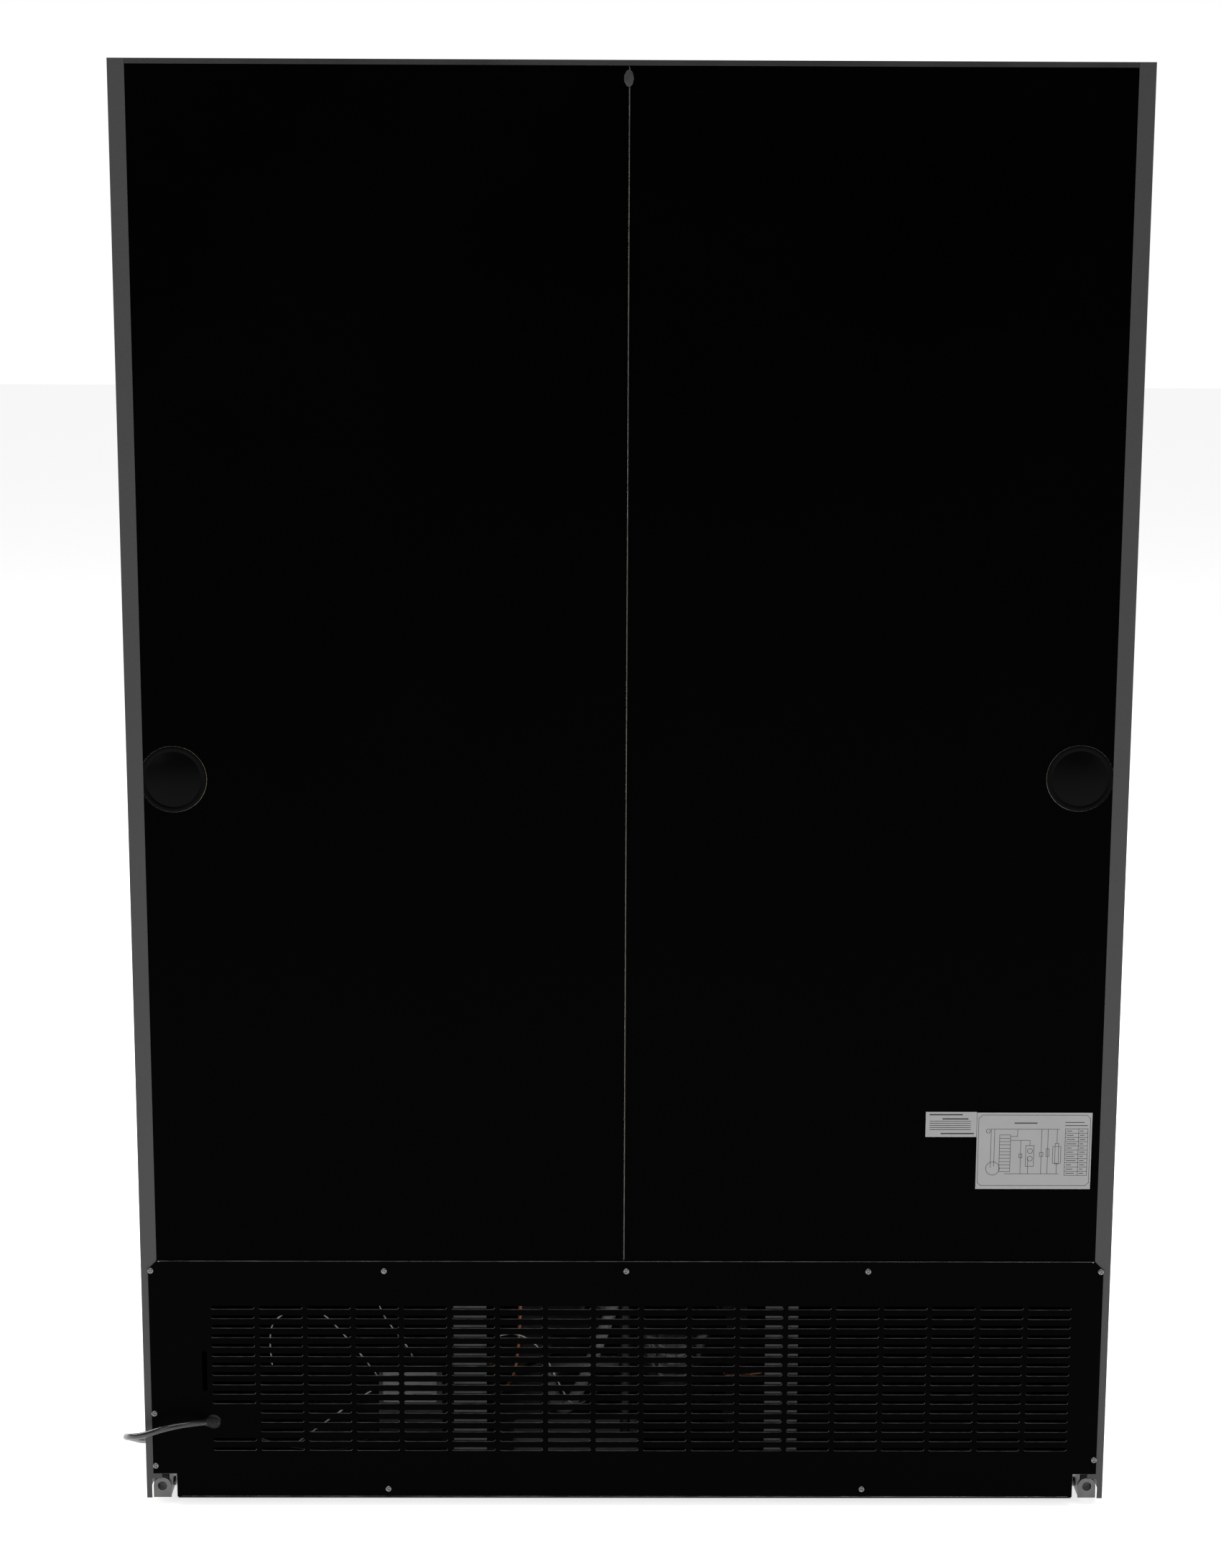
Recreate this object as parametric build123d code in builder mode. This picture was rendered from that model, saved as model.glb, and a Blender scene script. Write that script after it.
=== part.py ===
"""Two-door glass merchandiser: an upright refrigerated display cabinet, millimetres, +Z up.

The origin is on the floor under the middle of the cabinet.  The doors face -Y, the louvred
machine-compartment panel and the power cord are at +Y.
"""

import math
import os

from build123d import *

# ---------------------------------------------------------------- driving dimensions
WIDTH = 1350.0  # over the side panels
DEPTH = 800.0  # from the door handles to the rear screw heads
TOP = 1988.0  # top of the cabinet above the floor
BODY_BOTTOM = 12.0  # underside of the base above the floor
SHEET = 1.0  # outer and inner skins
WALL = 50.0  # insulation

HANDLE_REACH = 30.0  # handle in front of the door
DOOR_DEPTH = 55.0
GASKET_DEPTH = 11.7
CLOSED_GAP = 0.3  # gasket to face frame, door closed
FRAME_DEPTH = 50.0  # face frame, front to back
FRAME_WALL = 3.0  # the face frame is hollow, for foam
FACE_LIP = 2.0  # thickness of the face frame where it covers a panel's edge

SCREW_HEAD = 2.6
SCREW_HEAD_R = 4.6
SCREW_R = 2.0
SCREW_CLEARANCE = 0.1
SCREW_LENGTH = 3.0

BASE_TUBE = 36.0
BASE_TUBE_WALL = 2.0
DECK = 2.0
BOX_BOTTOM = 331.0  # underside of the insulated box
HEADER_HEIGHT = 240.0
BULKHEAD_BELOW_DOOR_TOP = 40.0
SILL_BOTTOM = 298.0
MULLION = 80.0

DOOR_SIDE_GAP = 4.0  # door edge inside the cabinet's side
DOOR_MIDDLE_GAP = 6.0  # between the two doors
DOOR_BOTTOM = 306.0
HEADER_GAP = 3.0  # hinge bracket to header
BAR = 40.0  # door frame tube, seen from the front
BAR_WALL = 2.0
BAR_LIP = 12.0  # lips that hold the glass
MITRE_KERF = 0.2
PANE = 4.0
PANE_SPACE = 12.0
GLASS_CLEARANCE = 0.3
GLASS_BITE = 9.0  # glass hidden under the lips
GASKET_INSET = 18.0
GASKET_WIDTH = 16.0

PIVOT_INSET = 16.0  # door pivot from the hinge edge
PIVOT_BEHIND_FRONT = 35.0
PIN_R = 5.0
PIN_CLEARANCE = 0.05
PIN_LENGTH = 16.0
BUSH_R = 8.0
BUSH_LENGTH = 14.0
BUSH_FLANGE_R = 10.0
BUSH_FLANGE = 1.2
BRACKET = 4.0  # hinge bracket plate
BRACKET_GAP = 3.0  # bracket plate to door

HANDLE_LENGTH = 400.0
HANDLE_BOTTOM = 850.0
HANDLE_WIDTH = 18.0
HANDLE_BAR = 9.0
HANDLE_FOOT = 25.0

SHELF_COUNT = 4
SHELF_ROD = 6.0
SHELF_WIRE = 3.0
SHELF_WIRES = 23

LOUVRE_ROWS = 16
LOUVRE_PITCH_X = 67.1
LOUVRE_PITCH_Z = 14.0
LOUVRE_LENGTH = 60.0
LOUVRE_HEIGHT = 5.0
LOUVRE_PANEL_TOP = 364.0
LOUVRE_PANEL_INSET = 10.0  # panel edge inside the cabinet's side
LOUVRE_BORDERS = (86.15, 43.0)  # blank ends of the panel: beside the cord, and far from it
LOUVRE_PANEL_BOTTOM = 14.0
CORD_HOLE_INSET = 96.0
CORD_HOLE_Z = 126.2
CORD_HOLE_R = 11.0

ROLLER_R = 22.5
ROLLER_WIDTH = 16.0
AXLE_R = 4.0
LUG_INSET = 21.7
LUG_HOLE_R = 6.5
LUG_HOLE_Z = 29.0
LUG_WIDTH = 25.0

FOOT_INSET = 75.0
FOOT_PAD = 8.0
FOOT_PAD_R = 22.0
FOOT_STEM_R = 6.0
FOOT_STEM_TOP = 78.0
FOOT_CHAMFER = 1.5

CORD_R = 4.5

# ---------------------------------------------------------------- planes shared by several pieces
HALF = WIDTH / 2
REAR = DEPTH / 2
LOUVRE_OUT = REAR - SCREW_HEAD
FLANGE_OUT = LOUVRE_OUT - SHEET
BACK_OUT = FLANGE_OUT - SHEET
BACK_IN = BACK_OUT - SHEET
LINER_BACK = BACK_IN - WALL
INSIDE_BACK = LINER_BACK - SHEET
SKIN_IN = HALF - SHEET
LINER_SIDE = SKIN_IN - WALL
INSIDE_SIDE = LINER_SIDE - SHEET

HANDLE_FRONT = -DEPTH / 2
DOOR_FRONT = HANDLE_FRONT + HANDLE_REACH
DOOR_BACK = DOOR_FRONT + DOOR_DEPTH
GASKET_BACK = DOOR_BACK + GASKET_DEPTH
FACE = GASKET_BACK + CLOSED_GAP
FACE_LIP_BACK = FACE + FACE_LIP
FRAME_BACK = FACE + FRAME_DEPTH

SKIN_TOP = TOP - SHEET
CEILING_FOAM = SKIN_TOP - WALL
CEILING = CEILING_FOAM - SHEET
BOX_FOAM = BOX_BOTTOM + SHEET
FLOOR_LINER = BOX_FOAM + WALL
FLOOR = FLOOR_LINER + SHEET
RAIL_TOP = BODY_BOTTOM + BASE_TUBE
DECK_TOP = RAIL_TOP + DECK

HEADER_BOTTOM = TOP - HEADER_HEIGHT
DOOR_TOP = HEADER_BOTTOM - HEADER_GAP - BRACKET - BRACKET_GAP
OPENING_TOP = DOOR_TOP - BULKHEAD_BELOW_DOOR_TOP

DOOR_IN = DOOR_MIDDLE_GAP / 2
DOOR_OUT = HALF - DOOR_SIDE_GAP
DOOR_X = (DOOR_IN + DOOR_OUT) / 2
DOOR_Z = (DOOR_BOTTOM + DOOR_TOP) / 2
DOOR_WIDTH = DOOR_OUT - DOOR_IN
DOOR_HEIGHT = DOOR_TOP - DOOR_BOTTOM
PIVOT_X = DOOR_OUT - PIVOT_INSET
PIVOT_Y = DOOR_FRONT + PIVOT_BEHIND_FRONT
LUG_X = HALF - LUG_INSET
FOOT_X = HALF - FOOT_INSET
CORD_HOLE = (HALF - CORD_HOLE_INSET, CORD_HOLE_Z)


def block(x, y, z, mode=Mode.ADD):
    """A rectangular block between the low and high values of x, y and z."""
    with Locations((sum(x) / 2, sum(y) / 2, sum(z) / 2)):
        Box(x[1] - x[0], y[1] - y[0], z[1] - z[0], mode=mode)


def rod(place, radius, height, axis="Z", mode=Mode.ADD):
    """A cylinder centred on place along the named axis."""
    turn = {"X": (0, 90, 0), "Y": (90, 0, 0), "Z": (0, 0, 0)}[axis]
    with Locations(Location(place, turn)):
        Cylinder(radius, height, mode=mode)


def mirrored(source, name):
    """The opposite-hand copy of a piece."""
    with BuildPart() as copy:
        mirror(source.part, about=Plane.YZ)
    copy.part.label = name
    return copy


def both(x):
    """The place x and its mirror image."""
    return (-x, x)


# ---------------------------------------------------------------- rear screws
SCREW_SIDE_X = HALF - 13.6
SCREW_TOP_Z = 350.0
SCREW_BOTTOM_Z = 26.5
SCREW_QUARTER_X = HALF / 2 - 0.5
BASE_SCREW_X = HALF / 2 - 3.5
MIDDLE_SCREWS = [(x, SCREW_TOP_Z) for x in (-SCREW_QUARTER_X, 0.0, SCREW_QUARTER_X)]
BASE_SCREWS = [(-BASE_SCREW_X, SCREW_BOTTOM_Z), (BASE_SCREW_X, SCREW_BOTTOM_Z)]
LEFT_SCREWS = [(-SCREW_SIDE_X, SCREW_TOP_Z), (-SCREW_SIDE_X, 70.5)]
RIGHT_SCREWS = [(SCREW_SIDE_X, SCREW_TOP_Z), (SCREW_SIDE_X, 139.0), (SCREW_SIDE_X, 61.0)]
ALL_SCREWS = MIDDLE_SCREWS + BASE_SCREWS + LEFT_SCREWS + RIGHT_SCREWS


def screw_holes(places, low_y, high_y):
    """Clearance holes along Y for the rear screws at the given x, z places."""
    for x, z in places:
        middle = (x, (low_y + high_y) / 2, z)
        rod(middle, SCREW_R + SCREW_CLEARANCE, high_y - low_y + SHEET, "Y", Mode.SUBTRACT)


# ================================================================ cabinet skins
FLANGE = 22.0
FLANGE_NOTCH_TOP = 41.0
FLANGE_NOTCH_X = HALF - 7.5

with BuildPart() as side_panel_right:
    block((SKIN_IN, HALF), (FACE_LIP_BACK, FLANGE_OUT), (BODY_BOTTOM, SKIN_TOP))
    block((HALF - FLANGE, HALF), (BACK_OUT, FLANGE_OUT), (BODY_BOTTOM, SKIN_TOP))
    block(
        (HALF - FLANGE, FLANGE_NOTCH_X),
        (BACK_OUT, FLANGE_OUT),
        (BODY_BOTTOM, FLANGE_NOTCH_TOP),
        Mode.SUBTRACT,
    )
    screw_holes(RIGHT_SCREWS, BACK_OUT, FLANGE_OUT)
side_panel_right.part.label = "side_panel_right"

with BuildPart() as side_panel_left:
    block((-HALF, -SKIN_IN), (FACE_LIP_BACK, FLANGE_OUT), (BODY_BOTTOM, SKIN_TOP))
    block((-HALF, FLANGE - HALF), (BACK_OUT, FLANGE_OUT), (BODY_BOTTOM, SKIN_TOP))
    block(
        (-FLANGE_NOTCH_X, FLANGE - HALF),
        (BACK_OUT, FLANGE_OUT),
        (BODY_BOTTOM, FLANGE_NOTCH_TOP),
        Mode.SUBTRACT,
    )
    screw_holes(LEFT_SCREWS, BACK_OUT, FLANGE_OUT)
side_panel_left.part.label = "side_panel_left"

TOP_LIP = 6.0
TOP_LIP_GAP = 0.4

with BuildPart() as top_panel:
    block((-HALF, HALF), (FACE, FLANGE_OUT), (SKIN_TOP, TOP))
    lip_end = HALF - FLANGE - TOP_LIP_GAP
    block((-lip_end, lip_end), (BACK_OUT, FLANGE_OUT), (SKIN_TOP - TOP_LIP, SKIN_TOP))
top_panel.part.label = "top_panel"

SEAM_X = 4.0
SEAM_GAP = 0.5
SEAM_HEM = 3.0
SEAM_HEM_HEIGHT = 0.6
SEAM_END_GAP = 2.0  # between the hem and the sheets above and below it
PORT_R = 45.5
PORT_GAP = 0.3
PORTS = [(66.5 - HALF, 1049.0), (HALF - 62.0, 1045.0)]


def port_holes(places):
    """Filling-port holes through a back panel."""
    for x, z in places:
        rod((x, BACK_OUT, z), PORT_R, 4 * SHEET, "Y", Mode.SUBTRACT)


with BuildPart() as back_panel_left:
    block((-SKIN_IN, SEAM_X - SEAM_GAP), (BACK_IN, BACK_OUT), (BOX_BOTTOM, SKIN_TOP))
    hem = (SEAM_X - SEAM_GAP - SEAM_HEM, SEAM_X - SEAM_GAP)
    hem_y = (BACK_OUT, BACK_OUT + SEAM_HEM_HEIGHT)
    hem_ends = (LOUVRE_PANEL_TOP + SEAM_END_GAP, SKIN_TOP - TOP_LIP - SEAM_END_GAP)
    block(hem, hem_y, hem_ends)
    port_holes(PORTS[:1])
    screw_holes(MIDDLE_SCREWS[:2] + LEFT_SCREWS[:1], BACK_IN, BACK_OUT)
back_panel_left.part.label = "back_panel_left"

with BuildPart() as back_panel_right:
    block((SEAM_X, SKIN_IN), (BACK_IN, BACK_OUT), (BOX_BOTTOM, SKIN_TOP))
    port_holes(PORTS[1:])
    screw_holes(MIDDLE_SCREWS[2:] + RIGHT_SCREWS[:1], BACK_IN, BACK_OUT)
back_panel_right.part.label = "back_panel_right"

with BuildPart() as foam_port_plugs:
    for x, z in PORTS:
        rod((x, BACK_IN + SHEET / 2, z), PORT_R - PORT_GAP, SHEET, "Y")
foam_port_plugs.part.label = "foam_port_plugs"

# ================================================================ louvred rear panel
PANEL_CORNER = 12.0
PANEL_HEM = 4.0
PANEL_NOTCH_X = HALF - 43.0
PANEL_NOTCH_TOP = 49.0
LOUVRE_MIDDLE_Z = 191.0
CORD_ROWS = (11, 12, 13)  # the slots left out beside the cord's hole
SIDE_SLOT = (HALF - 85.5, 202.0, 60.0, 7.0)  # x, z, length, width of the upright slot

panel_half = HALF - LOUVRE_PANEL_INSET
louvre_span = 2 * panel_half - sum(LOUVRE_BORDERS)
louvre_columns = math.floor((louvre_span - LOUVRE_LENGTH) / LOUVRE_PITCH_X) + 1
first_column = panel_half - LOUVRE_BORDERS[0] - LOUVRE_LENGTH / 2
first_row = LOUVRE_MIDDLE_Z + LOUVRE_PITCH_Z * (LOUVRE_ROWS - 1) / 2
louvre_places = [
    (first_column - column * LOUVRE_PITCH_X, first_row - row * LOUVRE_PITCH_Z)
    for column in range(louvre_columns)
    for row in range(LOUVRE_ROWS)
    if column > 0 or row not in CORD_ROWS
]

with BuildPart() as louver_panel:
    with BuildSketch(Plane.XZ.offset(-LOUVRE_OUT)):
        with BuildLine():
            Polyline(
                (-PANEL_NOTCH_X, LOUVRE_PANEL_BOTTOM),
                (-PANEL_NOTCH_X, PANEL_NOTCH_TOP),
                (-panel_half, PANEL_NOTCH_TOP),
                (-panel_half, LOUVRE_PANEL_TOP - PANEL_CORNER),
                (-panel_half + PANEL_CORNER, LOUVRE_PANEL_TOP),
                (panel_half - PANEL_CORNER, LOUVRE_PANEL_TOP),
                (panel_half, LOUVRE_PANEL_TOP - PANEL_CORNER),
                (panel_half, PANEL_NOTCH_TOP),
                (PANEL_NOTCH_X, PANEL_NOTCH_TOP),
                (PANEL_NOTCH_X, LOUVRE_PANEL_BOTTOM),
                close=True,
            )
        make_face()
        with Locations(*louvre_places):
            SlotOverall(LOUVRE_LENGTH, LOUVRE_HEIGHT, mode=Mode.SUBTRACT)
        with Locations(Location((SIDE_SLOT[0], SIDE_SLOT[1]), 90)):
            SlotOverall(SIDE_SLOT[2], SIDE_SLOT[3], mode=Mode.SUBTRACT)
        with Locations(CORD_HOLE):
            Circle(CORD_HOLE_R, mode=Mode.SUBTRACT)
        with Locations(*ALL_SCREWS):
            Circle(SCREW_R + SCREW_CLEARANCE, mode=Mode.SUBTRACT)
    extrude(amount=SHEET)
    hem_half = panel_half - PANEL_CORNER - PANEL_HEM
    hem_z = (LOUVRE_PANEL_TOP - PANEL_HEM, LOUVRE_PANEL_TOP)
    block((-hem_half, hem_half), (LOUVRE_OUT, LOUVRE_OUT + SHEET), hem_z)
    lip_half = PANEL_NOTCH_X - PANEL_HEM
    lip_z = (LOUVRE_PANEL_BOTTOM, LOUVRE_PANEL_BOTTOM + SHEET)
    block((-lip_half, lip_half), (LOUVRE_OUT, LOUVRE_OUT + SHEET), lip_z)
louver_panel.part.label = "louver_panel"

with BuildPart() as rear_screws:
    for x, z in ALL_SCREWS:
        rod((x, LOUVRE_OUT + SCREW_HEAD / 2, z), SCREW_HEAD_R, SCREW_HEAD, "Y")
        rod((x, LOUVRE_OUT - SCREW_LENGTH / 2, z), SCREW_R, SCREW_LENGTH, "Y")
rear_screws.part.label = "rear_screws"

LABEL = 0.2
SMALL_LABEL_X = (192.5 - HALF, 263.0 - HALF)
SMALL_LABEL_Z = (545.0, 581.0)
LARGE_LABEL_X = (33.0 - HALF, 192.0 - HALF)
LARGE_LABEL_Z = (470.0, 580.0)

with BuildPart() as labels:
    block(SMALL_LABEL_X, (BACK_OUT, BACK_OUT + LABEL), SMALL_LABEL_Z)
    block(LARGE_LABEL_X, (BACK_OUT, BACK_OUT + LABEL), LARGE_LABEL_Z)
labels.part.label = "labels"

# ================================================================ front lower grille
GRILLE_TOP = SILL_BOTTOM - 2.0
GRILLE_COLUMNS = 6
GRILLE_ROWS = 11
GRILLE_BAR = 22.0  # between two slots in a row
GRILLE_BORDER = 50.0
GRILLE_SLOT_HEIGHT = 7.0
GRILLE_PITCH_Z = 18.0
GRILLE_PITCH_X = (WIDTH - 2 * GRILLE_BORDER + GRILLE_BAR) / GRILLE_COLUMNS
GRILLE_SLOT = GRILLE_PITCH_X - GRILLE_BAR

with BuildPart() as front_grille:
    with BuildSketch(Plane.XZ.offset(-FACE_LIP_BACK)):
        middle = (0, (LOUVRE_PANEL_BOTTOM + GRILLE_TOP) / 2)
        with Locations(middle):
            Rectangle(WIDTH, GRILLE_TOP - LOUVRE_PANEL_BOTTOM)
            with GridLocations(GRILLE_PITCH_X, GRILLE_PITCH_Z, GRILLE_COLUMNS, GRILLE_ROWS):
                SlotOverall(GRILLE_SLOT, GRILLE_SLOT_HEIGHT, mode=Mode.SUBTRACT)
    extrude(amount=FACE_LIP)
front_grille.part.label = "front_grille"

# ================================================================ insulated box
DRAIN_X = 0.0
DRAIN_Y = INSIDE_BACK - 10.4
DRAIN_R = 7.0
DRAIN_WALL = 1.5
DRAIN_CLEARANCE = 0.5
MULLION_ROUND = 2.0


def drain_hole(z):
    """The drain tube's way through a floor between two heights."""
    middle = (DRAIN_X, DRAIN_Y, sum(z) / 2)
    rod(middle, DRAIN_R + DRAIN_CLEARANCE, z[1] - z[0] + SHEET, "Z", Mode.SUBTRACT)


with BuildPart() as foam_back:
    block((-SKIN_IN, SKIN_IN), (LINER_BACK, BACK_IN), (BOX_FOAM, SKIN_TOP))
with BuildPart() as foam_left:
    block((-SKIN_IN, -LINER_SIDE), (FRAME_BACK, LINER_BACK), (BOX_FOAM, SKIN_TOP))
with BuildPart() as foam_right:
    block((LINER_SIDE, SKIN_IN), (FRAME_BACK, LINER_BACK), (BOX_FOAM, SKIN_TOP))
with BuildPart() as foam_ceiling:
    block((-LINER_SIDE, LINER_SIDE), (FRAME_BACK, LINER_BACK), (CEILING_FOAM, SKIN_TOP))
with BuildPart() as foam_floor:
    block((-LINER_SIDE, LINER_SIDE), (FRAME_BACK, LINER_BACK), (BOX_FOAM, FLOOR_LINER))
    drain_hole((BOX_FOAM, FLOOR_LINER))

with BuildPart() as liner_back:
    block((-LINER_SIDE, LINER_SIDE), (INSIDE_BACK, LINER_BACK), (FLOOR_LINER, CEILING_FOAM))
with BuildPart() as liner_left:
    block((-LINER_SIDE, -INSIDE_SIDE), (FRAME_BACK, INSIDE_BACK), (FLOOR_LINER, CEILING_FOAM))
with BuildPart() as liner_right:
    block((INSIDE_SIDE, LINER_SIDE), (FRAME_BACK, INSIDE_BACK), (FLOOR_LINER, CEILING_FOAM))
with BuildPart() as liner_ceiling:
    block((-INSIDE_SIDE, INSIDE_SIDE), (FRAME_BACK, INSIDE_BACK), (CEILING, CEILING_FOAM))
with BuildPart() as liner_floor:
    block((-INSIDE_SIDE, INSIDE_SIDE), (FRAME_BACK, INSIDE_BACK), (FLOOR_LINER, FLOOR))
    drain_hole((FLOOR_LINER, FLOOR))

frame_hollow_y = (FACE + FRAME_WALL, FRAME_BACK - FRAME_WALL)

with BuildPart() as mullion:
    block((-MULLION / 2, MULLION / 2), (FACE, FRAME_BACK), (FLOOR, OPENING_TOP))
    fillet(mullion.edges().filter_by(Axis.Z).group_by(Axis.Y)[0], MULLION_ROUND)
    hollow_x = MULLION / 2 - FRAME_WALL
    block((-hollow_x, hollow_x), frame_hollow_y, (FLOOR, OPENING_TOP), Mode.SUBTRACT)
mullion.part.label = "mullion"

with BuildPart() as jamb_right:
    block((INSIDE_SIDE, HALF), (FACE, FACE_LIP_BACK), (SILL_BOTTOM, SKIN_TOP))
    block((INSIDE_SIDE, SKIN_IN), (FACE_LIP_BACK, FRAME_BACK), (SILL_BOTTOM, SKIN_TOP))
    hollow_x = (INSIDE_SIDE + FRAME_WALL, SKIN_IN - FRAME_WALL)
    block(hollow_x, frame_hollow_y, (SILL_BOTTOM, SKIN_TOP), Mode.SUBTRACT)
with BuildPart() as sill:
    block((-INSIDE_SIDE, INSIDE_SIDE), (FACE, FRAME_BACK), (SILL_BOTTOM, FLOOR))
    hollow_z = (SILL_BOTTOM + FRAME_WALL, FLOOR - FRAME_WALL)
    block((-INSIDE_SIDE, INSIDE_SIDE), frame_hollow_y, hollow_z, Mode.SUBTRACT)
with BuildPart() as bulkhead:
    block((-INSIDE_SIDE, INSIDE_SIDE), (FACE, FRAME_BACK), (OPENING_TOP, SKIN_TOP))
    hollow_z = (OPENING_TOP + FRAME_WALL, SKIN_TOP - FRAME_WALL)
    block((-INSIDE_SIDE, INSIDE_SIDE), frame_hollow_y, hollow_z, Mode.SUBTRACT)
jamb_left = mirrored(jamb_right, "jamb_left")

# ================================================================ header light box
HEADER_WALL = 1.5
HEADER_RIM = 14.0
SIGN = 3.0
SIGN_GAP = 0.3

header_in_x = HALF - HEADER_WALL
header_in_z = (HEADER_BOTTOM + HEADER_WALL, TOP - HEADER_WALL)
header_in_y = (DOOR_FRONT + HEADER_WALL, FACE - HEADER_WALL)

with BuildPart() as light_box:
    block((-HALF, HALF), (DOOR_FRONT, FACE), (HEADER_BOTTOM, TOP))
    block((-header_in_x, header_in_x), header_in_y, header_in_z, Mode.SUBTRACT)
    block(
        (HEADER_RIM - HALF, HALF - HEADER_RIM),
        (DOOR_FRONT, header_in_y[0]),
        (HEADER_BOTTOM + HEADER_RIM, TOP - HEADER_RIM),
        Mode.SUBTRACT,
    )
light_box.part.label = "light_box"

with BuildPart() as sign_panel:
    block(
        (SIGN_GAP - header_in_x, header_in_x - SIGN_GAP),
        (header_in_y[0], header_in_y[0] + SIGN),
        (header_in_z[0] + SIGN_GAP, header_in_z[1] - SIGN_GAP),
    )
sign_panel.part.label = "sign_panel"

LIGHT = 14.0
LIGHT_BOTTOM = FLOOR + 37.0
LIGHT_TOP = OPENING_TOP + 2.0
HEADER_LIGHT_INSET = 60.0
HEADER_LIGHT_Z = (HEADER_BOTTOM + TOP) / 2

with BuildPart() as light_bars:
    for low_x in (-INSIDE_SIDE, -LIGHT / 2, INSIDE_SIDE - LIGHT):
        block((low_x, low_x + LIGHT), (FRAME_BACK, FRAME_BACK + LIGHT), (LIGHT_BOTTOM, LIGHT_TOP))
    header_light_x = HALF - HEADER_LIGHT_INSET
    header_light_y = (header_in_y[1] - LIGHT, header_in_y[1])
    header_light_z = (HEADER_LIGHT_Z - LIGHT / 2, HEADER_LIGHT_Z + LIGHT / 2)
    block((-header_light_x, header_light_x), header_light_y, header_light_z)
light_bars.part.label = "light_bars"

# ================================================================ base
BRACKET_LENGTH = 61.0
BRACKET_PLATE = 3.0
BRACKET_REAR = BACK_IN - BRACKET_PLATE
BRACKET_FRONT = BRACKET_REAR - BRACKET_LENGTH
REAR_RAIL_GAP = 10.0  # rear rail to lug
REAR_RAIL_END = LUG_X - LUG_WIDTH / 2 - REAR_RAIL_GAP
ROLLER_Y = BRACKET_REAR - 29.0
SIDE_RAIL_GAP = 4.0  # side rail to roller bracket
RAIL_FOOT_Y = FACE_LIP_BACK + BASE_TUBE / 2


def tube_x(x, y, z):
    """A square tube that runs along X."""
    block(x, y, z)
    inner_y = (y[0] + BASE_TUBE_WALL, y[1] - BASE_TUBE_WALL)
    inner_z = (z[0] + BASE_TUBE_WALL, z[1] - BASE_TUBE_WALL)
    block(x, inner_y, inner_z, Mode.SUBTRACT)


rail_z = (BODY_BOTTOM, RAIL_TOP)
front_rail_y = (FACE_LIP_BACK, FACE_LIP_BACK + BASE_TUBE)
rear_rail_y = (FLANGE_OUT - BASE_TUBE, FLANGE_OUT)

with BuildPart() as front_rail:
    tube_x((-SKIN_IN, SKIN_IN), front_rail_y, rail_z)
    for x in both(FOOT_X):
        middle = (x, RAIL_FOOT_Y, RAIL_TOP)
        rod(middle, FOOT_STEM_R + PIN_CLEARANCE, 3 * BASE_TUBE, "Z", Mode.SUBTRACT)
with BuildPart() as rear_rail:
    tube_x((-REAR_RAIL_END, REAR_RAIL_END), rear_rail_y, rail_z)
    screw_holes(BASE_SCREWS, FLANGE_OUT - BASE_TUBE_WALL, FLANGE_OUT)
with BuildPart() as side_rail_right:
    with BuildSketch(Plane.XZ.offset(-front_rail_y[1])):
        with Locations((SKIN_IN - BASE_TUBE / 2, sum(rail_z) / 2)):
            Rectangle(BASE_TUBE, BASE_TUBE)
            inner = BASE_TUBE - 2 * BASE_TUBE_WALL
            Rectangle(inner, inner, mode=Mode.SUBTRACT)
    extrude(amount=front_rail_y[1] - BRACKET_FRONT + SIDE_RAIL_GAP)
side_rail_left = mirrored(side_rail_right, "side_rail_left")

with BuildPart() as machine_deck:
    block((-SKIN_IN, SKIN_IN), (FACE_LIP_BACK, BACK_OUT), (RAIL_TOP, DECK_TOP))
    for x in both(FOOT_X):
        middle = (x, RAIL_FOOT_Y, RAIL_TOP)
        rod(middle, FOOT_STEM_R + PIN_CLEARANCE, BASE_TUBE, "Z", Mode.SUBTRACT)
with BuildPart() as box_underside:
    block((-SKIN_IN, SKIN_IN), (FRAME_BACK, BACK_IN), (BOX_BOTTOM, BOX_FOAM))
    drain_hole((BOX_BOTTOM, BOX_FOAM))

POST_X = 218.0
POST_WIDTH = 46.0
POST_DEPTH = 22.0
POST_WALL = 2.0

with BuildPart() as rear_posts:
    post_y = (BACK_OUT - POST_DEPTH, BACK_OUT)
    for x in both(POST_X):
        outside = (x - POST_WIDTH / 2, x + POST_WIDTH / 2)
        inside = (outside[0] + POST_WALL, outside[1] - POST_WALL)
        block(outside, post_y, (DECK_TOP, BOX_BOTTOM))
        hollow_y = (post_y[0], post_y[1] - POST_WALL)
        block(inside, hollow_y, (DECK_TOP, BOX_BOTTOM), Mode.SUBTRACT)
rear_posts.part.label = "rear_posts"

CHEEK_BOTTOM = 14.0
CHEEK = 2.8
AXLE_CLEARANCE = 0.1
AXLE_END = 3.0  # axle beyond each cheek
CIRCLIP = 2.0
CIRCLIP_RIM = 2.5
CIRCLIP_GAP = 0.6
ROLLER_ROUND = 2.0

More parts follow.
